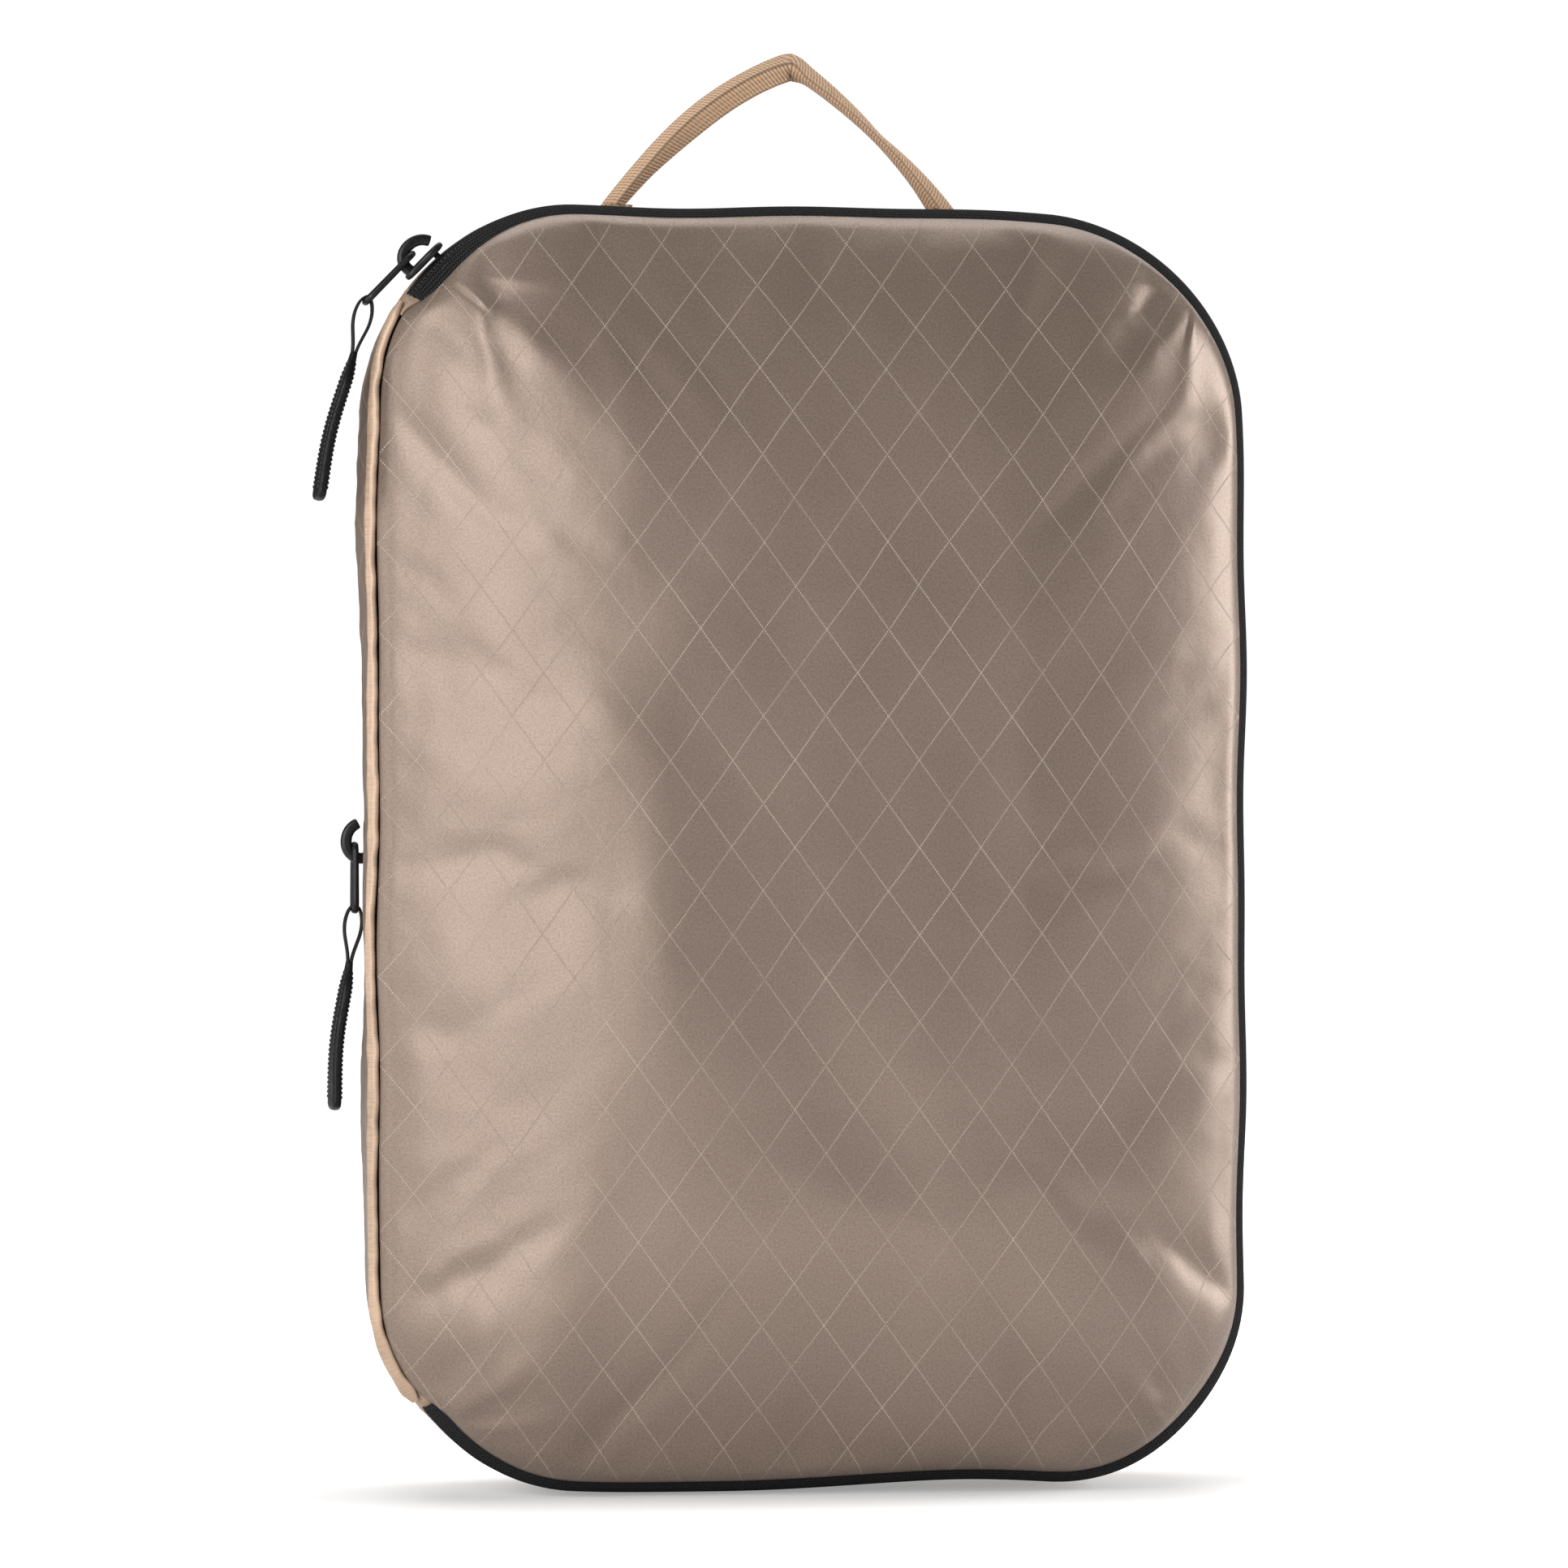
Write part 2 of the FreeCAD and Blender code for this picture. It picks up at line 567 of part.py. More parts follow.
def handle():
    """Webbing that rises from its sewn ends to a crease."""
    body = new_body("handle_webbing")
    sketch = new_sketch(body, "XZ_Plane", "-Sizes.handle_y")
    foot = "Sizes.handle_foot"
    lean = "Sizes.handle_thickness * 1.35"
    polygon(
        sketch,
        [
            ("Sizes.handle_foot_left", foot),
            ("Sizes.handle_knee_x", "Sizes.handle_knee_z"),
            ("Sizes.handle_peak_x", "Sizes.handle_peak_z"),
            ("Sizes.handle_foot_right", foot),
            (f"Sizes.handle_foot_right - {lean}", foot),
            ("Sizes.handle_peak_x", f"Sizes.handle_peak_z - {lean}"),
            ("Sizes.handle_knee_x + Sizes.handle_thickness / 2", f"Sizes.handle_knee_z - {lean}"),
            (f"Sizes.handle_foot_left + {lean}", foot),
        ],
    )
    pad(body, sketch, "Sizes.handle_width", midplane=True)


def handle_ends():
    """The webbing's two sewn ends, and the bars of thread across them."""
    ends = []
    bars = []
    half = cell("handle_end_width") / 2
    depth = cell("handle_thickness")
    front = cell("handle_y") - depth / 2
    for name in ("handle_left", "handle_right"):
        low = FreeCAD.Vector(cell(name) - half, front, cell("body_height"))
        end = plate(name, "Sizes.handle_end_width", "Sizes.handle_thickness", "Sizes.anchor_height")
        end.Placement.Base = low
        ends.append(end)
        for side in (-cell("bartack_proud"), depth):
            bar_name = f"{name}_bar_{len(bars)}"
            width = "Sizes.handle_end_width"
            bar = plate(bar_name, width, "Sizes.bartack_proud", "Sizes.bartack_height")
            bar.Placement.Base = low + FreeCAD.Vector(0, side, cell("bartack_height") / 2)
            bars.append(bar)
    for label, pieces in (("handle_ends", ends), ("handle_bartacks", bars)):
        group = doc.addObject("Part::Compound", label)
        group.Label = label
        group.Links = pieces
        sub_parts.append(group)


gusset()
front_panel()
back_panel()
zips()
linings()
spine_piping()
end_tab("upper_end_tab", True)
end_tab("lower_end_tab", False)
rear_end_cover()
sliders()
handle()
handle_ends()

doc.recompute()
faults = [o.Label for o in doc.Objects if {"Invalid", "Error"} & set(o.State)]
for part in sub_parts:
    if part.Shape.isNull() or not part.Shape.isValid() or not part.Shape.Solids:
        faults.append(part.Label)
if faults:
    raise RuntimeError(f"these objects failed: {sorted(set(faults))}")

os.makedirs("parts", exist_ok=True)
for part in sub_parts:
    part.Shape.exportStep(f"parts/{part.Label}.step")
    box = part.Shape.BoundBox
    low = f"{box.XMin:.1f} {box.YMin:.1f} {box.ZMin:.1f}"
    high = f"{box.XMax:.1f} {box.YMax:.1f} {box.ZMax:.1f}"
    print(f"{part.Label}: {len(part.Shape.Solids)} solids, {low} to {high}")
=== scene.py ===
import json
import math

import bpy
import numpy as np
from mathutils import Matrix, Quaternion, Vector, noise


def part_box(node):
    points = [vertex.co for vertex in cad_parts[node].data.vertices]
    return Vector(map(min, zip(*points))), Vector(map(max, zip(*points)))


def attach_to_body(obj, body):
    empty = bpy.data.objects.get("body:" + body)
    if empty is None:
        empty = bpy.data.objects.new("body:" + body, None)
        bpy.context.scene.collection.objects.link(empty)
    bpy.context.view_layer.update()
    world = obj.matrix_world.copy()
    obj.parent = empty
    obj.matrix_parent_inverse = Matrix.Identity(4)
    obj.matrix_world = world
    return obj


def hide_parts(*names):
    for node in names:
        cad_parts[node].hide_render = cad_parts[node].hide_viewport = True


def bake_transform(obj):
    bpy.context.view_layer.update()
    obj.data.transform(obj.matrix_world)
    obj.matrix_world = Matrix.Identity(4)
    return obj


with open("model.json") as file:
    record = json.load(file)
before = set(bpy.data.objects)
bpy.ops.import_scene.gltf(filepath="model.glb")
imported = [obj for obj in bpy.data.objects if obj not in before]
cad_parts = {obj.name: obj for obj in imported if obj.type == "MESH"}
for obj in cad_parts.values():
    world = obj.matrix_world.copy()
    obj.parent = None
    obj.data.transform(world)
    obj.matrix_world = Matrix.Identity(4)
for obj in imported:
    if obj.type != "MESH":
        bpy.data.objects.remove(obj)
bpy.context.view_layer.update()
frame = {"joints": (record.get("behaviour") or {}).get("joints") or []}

# ---- sizes, in metres
MM = 0.001
gusset_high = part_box("gusset")[1]
HALF_WIDTH = gusset_high.x
HEIGHT = gusset_high.z
CORNER = 57 * MM
MAIN_ZIP_Y = -19 * MM
COMPRESSION_ZIP_Y = 19 * MM
FLOOR_CLEARANCE = 0.2 * MM
HANDLE_WIDTH = 10 * MM

SIDE_RUN = HEIGHT - 2 * CORNER
TOP_RUN = 2 * (HALF_WIDTH - CORNER)
ARC_RUN = math.pi / 2 * CORNER
OUTLINE = 2 * (SIDE_RUN + TOP_RUN) + 4 * ARC_RUN

# places along the outline, clockwise as seen from the front, from the middle of the left side
UPPER_LEFT = SIDE_RUN / 2 + ARC_RUN / 2
UPPER_RIGHT = UPPER_LEFT + TOP_RUN + ARC_RUN
LOWER_RIGHT = UPPER_RIGHT + SIDE_RUN + ARC_RUN
LOWER_LEFT = LOWER_RIGHT + TOP_RUN + ARC_RUN
RIGHT_MIDDLE = (UPPER_RIGHT + LOWER_RIGHT) / 2
BOTTOM_MIDDLE = (LOWER_RIGHT + LOWER_LEFT) / 2
ZIP_START = 157 * MM
ZIP_END = 958 * MM


# ---- the outline that every soft piece follows
def near(s, place, width):
    """1 at a place along the outline, falling smoothly to 0 about two widths away."""
    away = (s - place + OUTLINE / 2) % OUTLINE - OUTLINE / 2
    return np.exp(-((away / width) ** 2))


def smooth(x, low, high):
    """0 below low, 1 above high, and an even slope between."""
    t = np.clip((x - low) / (high - low), 0, 1)
    return t * t * (3 - 2 * t)


def outline(s):
    """Points (x, z) of the flat outline, and its outward normals, at these places along it."""
    s = np.asarray(s, float) % OUTLINE
    points = np.zeros(s.shape + (2,))
    normals = np.zeros(s.shape + (2,))
    runs = [SIDE_RUN / 2, TOP_RUN, SIDE_RUN, TOP_RUN, SIDE_RUN / 2]
    directions = [(0, 1), (1, 0), (0, -1), (-1, 0), (0, 1)]
    begins = [(-HALF_WIDTH, HEIGHT / 2), (-TOP_RUN / 2, HEIGHT), (HALF_WIDTH, HEIGHT - CORNER),
              (TOP_RUN / 2, 0), (-HALF_WIDTH, CORNER)]
    centres = [(-TOP_RUN / 2, HEIGHT - CORNER), (TOP_RUN / 2, HEIGHT - CORNER),
               (TOP_RUN / 2, CORNER), (-TOP_RUN / 2, CORNER), None]
    start = 0.0
    for run, heading, begin, centre in zip(runs, directions, begins, centres):
        heading = np.array(heading, float)
        normal = np.array((-heading[1], heading[0]))
        on_run = (s >= start) & (s <= start + run)
        points[on_run] = np.array(begin) + (s[on_run] - start)[:, None] * heading
        normals[on_run] = normal
        start += run
        if centre is not None:
            on_arc = (s > start) & (s < start + ARC_RUN)
            turn = ((s[on_arc] - start) / CORNER)[:, None]
            normals[on_arc] = normal * np.cos(turn) + heading * np.sin(turn)
            points[on_arc] = np.array(centre) + CORNER * normals[on_arc]
            start += ARC_RUN
    return points, normals


def pulled_in(s):
    """How far the sewn outline is pulled in from the flat pattern: most at the corners, with slow waves."""
    corners = (0.2 * near(s, UPPER_LEFT, 0.030) + 3.6 * near(s, UPPER_RIGHT, 0.034)
               + 1.0 * near(s, LOWER_RIGHT, 0.034) + 3.4 * near(s, LOWER_LEFT, 0.034))
    lifted_base = 2.6 * near(s, BOTTOM_MIDDLE - 0.034, 0.030)
    waves = 0.35 * np.sin(s / 0.0170) + 0.25 * np.sin(s / 0.0095 + 1.3)
    level = (1 - near(s, BOTTOM_MIDDLE + 0.055, 0.05)) * (1 - near(s, UPPER_LEFT, 0.030))
    return (corners + lifted_base + waves * level) * MM


def place(s, inset, y):
    """Points in the row frame on the sewn outline, inset towards its middle, at depth y."""
    points, normals = outline(s)
    flat = points - (np.asarray(inset) + pulled_in(s))[..., None] * normals
    out = np.zeros(flat.shape[:-1] + (3,))
    out[..., 0] = flat[..., 0]
    out[..., 1] = y
    out[..., 2] = np.maximum(flat[..., 1], FLOOR_CLEARANCE)
    return out


def zip_share(s):
    """1 where the main zip runs, 0 along the spine."""
    s = np.asarray(s) % OUTLINE
    return smooth(s, ZIP_START - 0.006, ZIP_START + 0.004) * (1 - smooth(s, ZIP_END - 0.004, ZIP_END + 0.006))


def lid_edge_inset(s):
    """How far in from the outline the front panel's folded edge lies."""
    sides = 3.7 + 0.3 * near(s, BOTTOM_MIDDLE, 0.07)
    corners = (2.6 * near(s, UPPER_LEFT - 0.004, 0.022) + 0.6 * near(s, UPPER_RIGHT, 0.03)
               + 1.0 * near(s, LOWER_RIGHT, 0.03) + 0.4 * near(s, LOWER_LEFT, 0.03))
    return (2.3 + (sides + corners - 2.3) * zip_share(s)) * MM


def lid_edge_y(s):
    return (-21.5 - 3.6 * zip_share(s)) * MM


def noise_at(points, size, seed=0.0, detail=2):
    """Smooth noise of about this size at each point, from -1 to 1, always the same."""
    shift = Vector((seed * 7.3, seed * 3.1, seed * 5.7))
    flat = points.reshape(-1, 3)
    out = np.array([noise.fractal(Vector(p) / size + shift, 0.9, 2.0, detail) for p in flat])
    return out.reshape(points.shape[:-1])


# ---- mesh helpers
def mesh_object(name, points, faces, uvs, material):
    mesh = bpy.data.meshes.new(name)
    corners = [tuple(int(i) for i in face) for face in faces]
    mesh.from_pydata(np.asarray(points).reshape(-1, 3).tolist(), [], corners)
    layer = mesh.uv_layers.new(name="UVMap")
    corner_vertex = np.zeros(len(mesh.loops), int)
    mesh.loops.foreach_get("vertex_index", corner_vertex)
    layer.data.foreach_set("uv", np.asarray(uvs).reshape(-1, 2)[corner_vertex].ravel())
    mesh.polygons.foreach_set("use_smooth", [True] * len(mesh.polygons))
    mesh.update()
    mesh.materials.append(material)
    obj = bpy.data.objects.new(name, mesh)
    bpy.context.scene.collection.objects.link(obj)
    return obj


def attach(obj, body, slot, *replaced):
    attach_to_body(obj, body)
    if replaced:
        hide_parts(*replaced)
    return obj


def grid_faces(rows, columns, close_rows=False, close_columns=False, offset=0):
    r = np.arange(rows if close_rows else rows - 1)
    c = np.arange(columns if close_columns else columns - 1)
    r, c = (a.ravel() for a in np.meshgrid(r, c, indexing="ij"))
    r2, c2 = (r + 1) % rows, (c + 1) % columns
    corners = [r * columns + c, r * columns + c2, r2 * columns + c2, r2 * columns + c]
    return np.stack(corners, 1) + offset


def tube_faces(rows, columns):
    """The faces of a tube of rings, closed at both ends."""
    faces = [tuple(f) for f in grid_faces(rows, columns, close_columns=True)]
    return faces + [tuple(range(columns))[::-1], tuple((rows - 1) * columns + i for i in range(columns))]


def full_turn(count):
    return np.linspace(0, 2 * math.pi, count, endpoint=False)


def squared(values, power):
    """Raises sines or cosines to a power below 1, which squares off the circle that they draw."""
    return np.sign(values) * np.abs(values) ** power


def headings(line):
    ahead = np.gradient(line, axis=0)
    return ahead / np.linalg.norm(ahead, axis=1)[:, None]


def lengths(line):
    """How far along a line each of its points lies."""
    return np.concatenate([[0], np.cumsum(np.linalg.norm(np.diff(line, axis=0), axis=1))])


def uv_grid(along, across):
    return np.stack(np.broadcast_arrays(along[:, None], across[None, :]), -1)


def apply_modifiers(obj):
    graph = bpy.context.evaluated_depsgraph_get()
    mesh = bpy.data.meshes.new_from_object(obj.evaluated_get(graph), depsgraph=graph)
    obj.modifiers.clear()
    obj.data = mesh
    return obj


def thicken(obj, thickness, bevel=0.0):
    solid = obj.modifiers.new("thickness", "SOLIDIFY")
    solid.thickness = thickness
    solid.offset = -1.0
    solid.use_even_offset = True
    if bevel:
        edge = obj.modifiers.new("edge", "BEVEL")
        edge.width = bevel
        edge.segments = 2
        edge.limit_method = "ANGLE"
        edge.angle_limit = math.radians(50)
    return apply_modifiers(obj)


def strip(name, s, profile, body, slot, replaced, thickness, bevel=0.0, wrinkle=None):
    """A strip of fabric along the outline. profile(s, t) gives inset and y for rows t from 0 to 1."""
    rows = profile.rows
    closed = abs((s[-1] - s[0]) + (s[1] - s[0]) - OUTLINE) < 1e-6
    points = np.zeros((rows, len(s), 3))
    uvs = np.zeros((rows, len(s), 2))
    across = 0.0
    for i, t in enumerate(np.linspace(0, 1, rows)):
        inset, y = profile(s, t)
        points[i] = place(s, inset, y)
        if i:
            across = across + np.linalg.norm(points[i] - points[i - 1], axis=1).mean()
        uvs[i, :, 0] = s
        uvs[i, :, 1] = across
    if wrinkle:
        points = wrinkle(points, s)
    obj = mesh_object(name, points, grid_faces(rows, len(s), close_columns=closed), uvs, MATERIALS[slot])
    if thickness:
        thicken(obj, thickness, bevel)
    return attach(obj, body, slot, *replaced)


def tube_along(points, radius, sides):
    """Rings of points round a path, and the faces that join them."""
    points = np.asarray(points, float)
    ahead = headings(points)
    across = np.cross(ahead, (0.0, 1.0, 0.0))
    across /= np.maximum(np.linalg.norm(across, axis=1), 1e-9)[:, None]
    other = np.cross(across, ahead)
    turn = full_turn(sides)
    radius = np.broadcast_to(np.asarray(radius, float), (len(points),))
    rings = points[:, None] + radius[:, None, None] * (
        np.cos(turn)[None, :, None] * across[:, None] + np.sin(turn)[None, :, None] * other[:, None])
    return rings, grid_faces(len(points), sides, close_columns=True)


# ---- materials
class Shader:
    """A short way to write a node material."""

    def __init__(self, name):
        self.material = bpy.data.materials.new(name)
        self.material.use_nodes = True
        self.tree = self.material.node_tree
        self.surface = self.tree.nodes["Principled BSDF"]

    def add(self, kind, inputs=None, **settings):
        node = self.tree.nodes.new("ShaderNode" + kind)
        for key, value in settings.items():
            setattr(node, key, value)
        for key, value in (inputs or {}).items():
            self.put(node.inputs[key], value)
        return node

    def put(self, socket, value):
        if isinstance(value, bpy.types.NodeSocket):
            self.tree.links.new(value, socket)
        else:
            socket.default_value = value

    def math(self, operation, a, b=0.0, c=0.0):
        node = self.add("Math", operation=operation)
        for socket, value in zip(node.inputs, (a, b, c)):
            self.put(socket, value)
        return node.outputs[0]

    def times(self, a, b):
        return self.math("MULTIPLY", a, b)

    def plus(self, a, b):
        return self.math("ADD", a, b)

    def scaled(self, a, by, shift):
        return self.math("MULTIPLY_ADD", a, by, shift)

    def saw(self, value, size=0.5):
        """Climbs to this size and falls back to 0, over and over."""
        return self.math("PINGPONG", value, size)

    def uv(self):
        split = self.add("SeparateXYZ", {0: self.add("UVMap", uv_map="UVMap").outputs[0]})
        return split.outputs[0], split.outputs[1]

    def position(self):
        return self.add("TexCoord").outputs["Object"]

    def vector(self, x, y, z=0.0):
        return self.add("CombineXYZ", {0: x, 1: y, 2: z}).outputs[0]

    def noise(self, vector, scale, detail=2.0, roughness=0.5):
        inputs = {"Vector": vector, "Scale": scale, "Detail": detail, "Roughness": roughness}
        return self.add("TexNoise", inputs).outputs["Fac"]

    def ramp(self, value, low, high, to_low=0.0, to_high=1.0):
        node = self.add("MapRange", {0: value, 1: low, 2: high, 3: to_low, 4: to_high}, clamp=True)
        return node.outputs[0]

    def mix(self, share, a, b):
        node = self.add("Mix", data_type="RGBA")
        self.put(node.inputs[0], share)
        self.put(node.inputs[6], a)
        self.put(node.inputs[7], b)
        return node.outputs[2]

    def bump(self, height, strength, distance, normal=None):
        inputs = {"Height": height, "Strength": strength, "Distance": distance}
        if normal is not None:
            inputs["Normal"] = normal
        return self.add("Bump", inputs).outputs[0]

    def finish(self, **values):
        names = {"color": "Base Color", "roughness": "Roughness", "metallic": "Metallic", "normal": "Normal",
                 "specular": "Specular IOR Level", "sheen": "Sheen Weight"}
        for key, value in values.items():
            self.put(self.surface.inputs[names[key]], value)
        return self.material


DIAMOND_WIDTH = 17.3 * MM
DIAMOND_HEIGHT = 24.0 * MM
DOTS_PER_SIDE = 19.5
THREAD = 0.52 * MM
TAPE_RIB = 0.9 * MM
TAPE_WALE = 1.1 * MM
WEBBING_RIB = 1.05 * MM
WEBBING_CORD = 1.6 * MM


def tint(color, strength=1.0):
    """A darker or lighter version of a colour, with its alpha."""
    return [min(1.0, c * strength) for c in color] + [1]


def diamond_dots(m, u, v):
    """1 on the dots of thread that draw the diamonds, 0 elsewhere."""
    drift = m.noise(m.vector(u, v), 22.0, 1.0)
    across = m.times(m.scaled(drift, 0.0016, u), 1 / DIAMOND_WIDTH)
    up = m.times(m.scaled(drift, -0.0016, v), 1 / DIAMOND_HEIGHT)
    a, b = m.plus(across, up), m.math("SUBTRACT", across, up)
    dots = []
    for line, along in ((a, b), (b, a)):
        on_line = m.ramp(m.saw(line), 0.0175, 0.009)
        beat = m.saw(m.times(along, DOTS_PER_SIDE))
        dots.append(m.times(on_line, m.ramp(beat, 0.16, 0.30)))
    return m.math("MAXIMUM", *dots)


def ripstop(name, color, dot_color, metallic, roughness):
    """Satin nylon with a grid of diamonds drawn in raised dots of thread."""
    m = Shader(name)
    u, v = m.uv()
    dot = diamond_dots(m, u, v)
    warp = m.math("SINE", m.times(m.plus(u, m.times(v, 0.5)), 2 * math.pi / THREAD))
    weft = m.math("SINE", m.times(m.math("SUBTRACT", v, m.times(u, 0.5)), 2 * math.pi / THREAD))
    weave = m.scaled(m.times(warp, weft), 0.5, 0.5)
    slub = m.noise(m.vector(u, v), 1500.0, 2.0)
    grain = m.plus(m.times(weave, 0.45), m.times(slub, 0.55))
    patch = m.noise(m.position(), 16.0, 3.0)
    tone = m.mix(m.ramp(grain, 0.33, 0.67), tint(color, 0.70), tint(color, 1.30))
    tone = m.mix(m.times(m.ramp(patch, 0.35, 0.70), 0.10), tone, tint(color, 0.9))
    worn = m.ramp(m.noise(m.position(), 30.0, 1.0), 0.35, 0.65, 0.30, 0.75)
    tone = m.mix(m.times(dot, worn), tone, tint(dot_color))
    height = m.plus(m.times(grain, 0.35), m.times(dot, 0.9))
    normal = m.bump(m.noise(m.position(), 160.0, 3.0, 0.6), 0.15, 0.0008)
    normal = m.bump(height, 0.45, 0.00010, normal)
    rough = m.scaled(dot, 0.35, m.scaled(patch, 0.04, roughness - 0.02))
    shine = m.scaled(dot, -metallic, metallic)
    return m.finish(color=tone, roughness=rough, metallic=shine, normal=normal, specular=0.5)


def satin(name, color, roughness=0.42, metallic=0.15, mottle=0.5):
    """Plain satin, with fine threads across and soft creases."""
    m = Shader(name)
    u, v = m.uv()
    threads = m.noise(m.vector(u, m.times(v, 0.08)), 2600.0, 2.0)
    patch = m.noise(m.position(), 60.0, 3.0)
    shade = m.scaled(threads, 1 - mottle, m.times(patch, mottle))
    tone = m.mix(m.ramp(shade, 0.35, 0.65), tint(color, 0.74), tint(color, 1.15))
    normal = m.bump(patch, mottle, 0.0010)
    normal = m.bump(threads, 0.5, 0.00010, normal)
    return m.finish(color=tone, roughness=roughness, metallic=metallic, normal=normal, specular=0.5)


def knit_tape(name, color, light):
    """Zip tape: a herringbone knit whose ribs lean one way and then the other across the width."""
    m = Shader(name)
    u, v = m.uv()
    slant = m.plus(u, m.times(m.saw(v, TAPE_WALE), 0.8))
    ribs = m.saw(m.times(slant, 1 / TAPE_RIB))
    wales = m.saw(m.times(v, 1 / TAPE_WALE))
    height = m.plus(m.times(ribs, 1.2), m.times(wales, 0.8))
    fuzz = m.noise(m.vector(u, v), 3200.0, 2.0)
    tone = m.scaled(fuzz, 1.1, m.times(height, 0.8))
    tone = m.mix(m.ramp(tone, 0.75, 1.35), tint(color, 0.6), tint(light))
    normal = m.bump(height, 0.9, 0.00035)
    normal = m.bump(fuzz, 0.4, 0.00015, normal)
    return m.finish(color=tone, roughness=0.92, normal=normal, specular=0.07)


def webbing_weave(name, color):
    """Narrow woven strap: close ribs across the width, warp threads along it, a crease down its middle."""
    m = Shader(name)
    u, v = m.uv()
    ribs = m.saw(m.times(m.scaled(v, 0.35, u), 1 / WEBBING_RIB))
    cords = m.saw(m.times(v, 1 / WEBBING_CORD))
    crease = m.ramp(m.math("ABSOLUTE", m.math("SUBTRACT", v, HANDLE_WIDTH / 2)), 0.00015, 0.0006)
    height = m.plus(m.times(ribs, 1.5), m.times(cords, 0.5))
    height = m.times(height, m.scaled(crease, 0.7, 0.3))
    fuzz = m.noise(m.vector(u, v), 2600.0, 2.0)
    tone = m.ramp(m.scaled(fuzz, 0.12, height), 0.12, 0.72)
    tone = m.mix(tone, tint(color, 0.42), tint(color, 1.1))
    normal = m.bump(height, 0.9, 0.00040)
    normal = m.bump(fuzz, 0.3, 0.00010, normal)
    return m.finish(color=tone, roughness=0.72, normal=normal, specular=0.25, sheen=0.05)


def coil_plastic(name, color):
    m = Shader(name)
    wear = m.noise(m.position(), 420.0, 2.0)
    tone = m.mix(wear, tint(color, 0.75), tint(color, 1.3))
    rough = m.ramp(wear, 0.3, 0.7, 0.30, 0.46)
    return m.finish(color=tone, roughness=rough, normal=m.bump(wear, 0.2, 0.0002))


def painted_metal(name, color, bare):
    """Baked black paint on cast metal, slightly uneven, worn thin on the edges."""
    m = Shader(name)
    grain = m.noise(m.position(), 900.0, 3.0)
    broad = m.noise(m.position(), 180.0, 2.0)
    edges = m.ramp(m.add("NewGeometry").outputs["Pointiness"], 0.52, 0.60)
    worn = m.times(edges, m.ramp(broad, 0.45, 0.65))
    tone = m.mix(broad, tint(color, 0.8), tint(color, 1.25))
    tone = m.mix(m.times(worn, 0.5), tone, tint(bare))
    normal = m.bump(grain, 0.18, 0.00015)
    return m.finish(color=tone, roughness=m.ramp(grain, 0.3, 0.7, 0.28, 0.42), normal=normal, specular=0.3)


def grained_leather(name, color):
    """Black pull tab: fine pebbled grain with a soft shine."""
    m = Shader(name)
    pebbles = m.add("TexVoronoi", {"Vector": m.position(), "Scale": 1500.0}, feature="F1").outputs["Distance"]
    creases = m.noise(m.position(), 420.0, 3.0)
    height = m.scaled(creases, 0.5, pebbles)
    tone = m.mix(m.ramp(height, 0.2, 0.9), tint(color, 1.3), tint(color, 0.6))
    normal = m.bump(height, 0.35, 0.0002)
    return m.finish(color=tone, roughness=m.ramp(creases, 0.3, 0.7, 0.36, 0.50), normal=normal, specular=0.22)


def sewing_thread(name, color):
    m = Shader(name)
    twist = m.add("TexWave", {"Vector": m.position(), "Scale": 900.0, "Distortion": 1.5}).outputs["Fac"]
    tone = m.mix(twist, tint(color, 0.6), tint(color, 1.3))
    return m.finish(color=tone, roughness=0.55, normal=m.bump(twist, 0.5, 0.0001), sheen=0.2)


LINING = satin("lining_coated", (0.27, 0.225, 0.185), 0.50, 0.0, 0.12)
MATERIALS = {
    "shell_fabric": ripstop("shell_ripstop", (0.252, 0.188, 0.149), (0.50, 0.42, 0.35), 0.38, 0.43),
    "spine_fabric": satin("spine_satin", (0.50, 0.35, 0.245)),
    "binding": satin("binding_tape", (0.12, 0.09, 0.07), 0.6, 0.0),
    "black_tape": knit_tape("black_zip_tape", (0.009, 0.0085, 0.009), (0.050, 0.048, 0.050)),
    "tan_tape": knit_tape("tan_zip_tape", (0.46, 0.34, 0.24), (0.62, 0.48, 0.35)),
    "black_coil": coil_plastic("black_zip_coil", (0.012, 0.012, 0.013)),
    "tan_coil": coil_plastic("tan_zip_coil", (0.42, 0.30, 0.20)),
    "webbing": webbing_weave("tan_webbing", (0.60, 0.39, 0.245)),
    "hardware": painted_metal("black_hardware", (0.009, 0.009, 0.010), (0.16, 0.155, 0.15)),
    "pull_tab": grained_leather("black_pull_tab", (0.0095, 0.009, 0.0095)),
    "black_thread": sewing_thread("black_thread", (0.03, 0.03, 0.032)),
    "tan_thread": sewing_thread("tan_thread", (0.55, 0.40, 0.27)),
}


# ---- front and back panels
GRID_COLUMNS = 48
GRID_ROWS = 72
RINGS = 9
INNER_INSET = 31 * MM
EDGE_MARGIN = 4.5 * MM
PANEL_THICKNESS = 0.8 * MM


def side_places():
    """Places along the outline for a panel's rows and columns, clockwise from the lower left corner."""
    corners = [LOWER_LEFT - OUTLINE, UPPER_LEFT, UPPER_RIGHT, LOWER_RIGHT, LOWER_LEFT]
    counts = [GRID_ROWS, GRID_COLUMNS, GRID_ROWS, GRID_COLUMNS]
    return np.concatenate([np.linspace(a, b, n, endpoint=False)
                           for a, b, n in zip(corners[:-1], corners[1:], counts)])


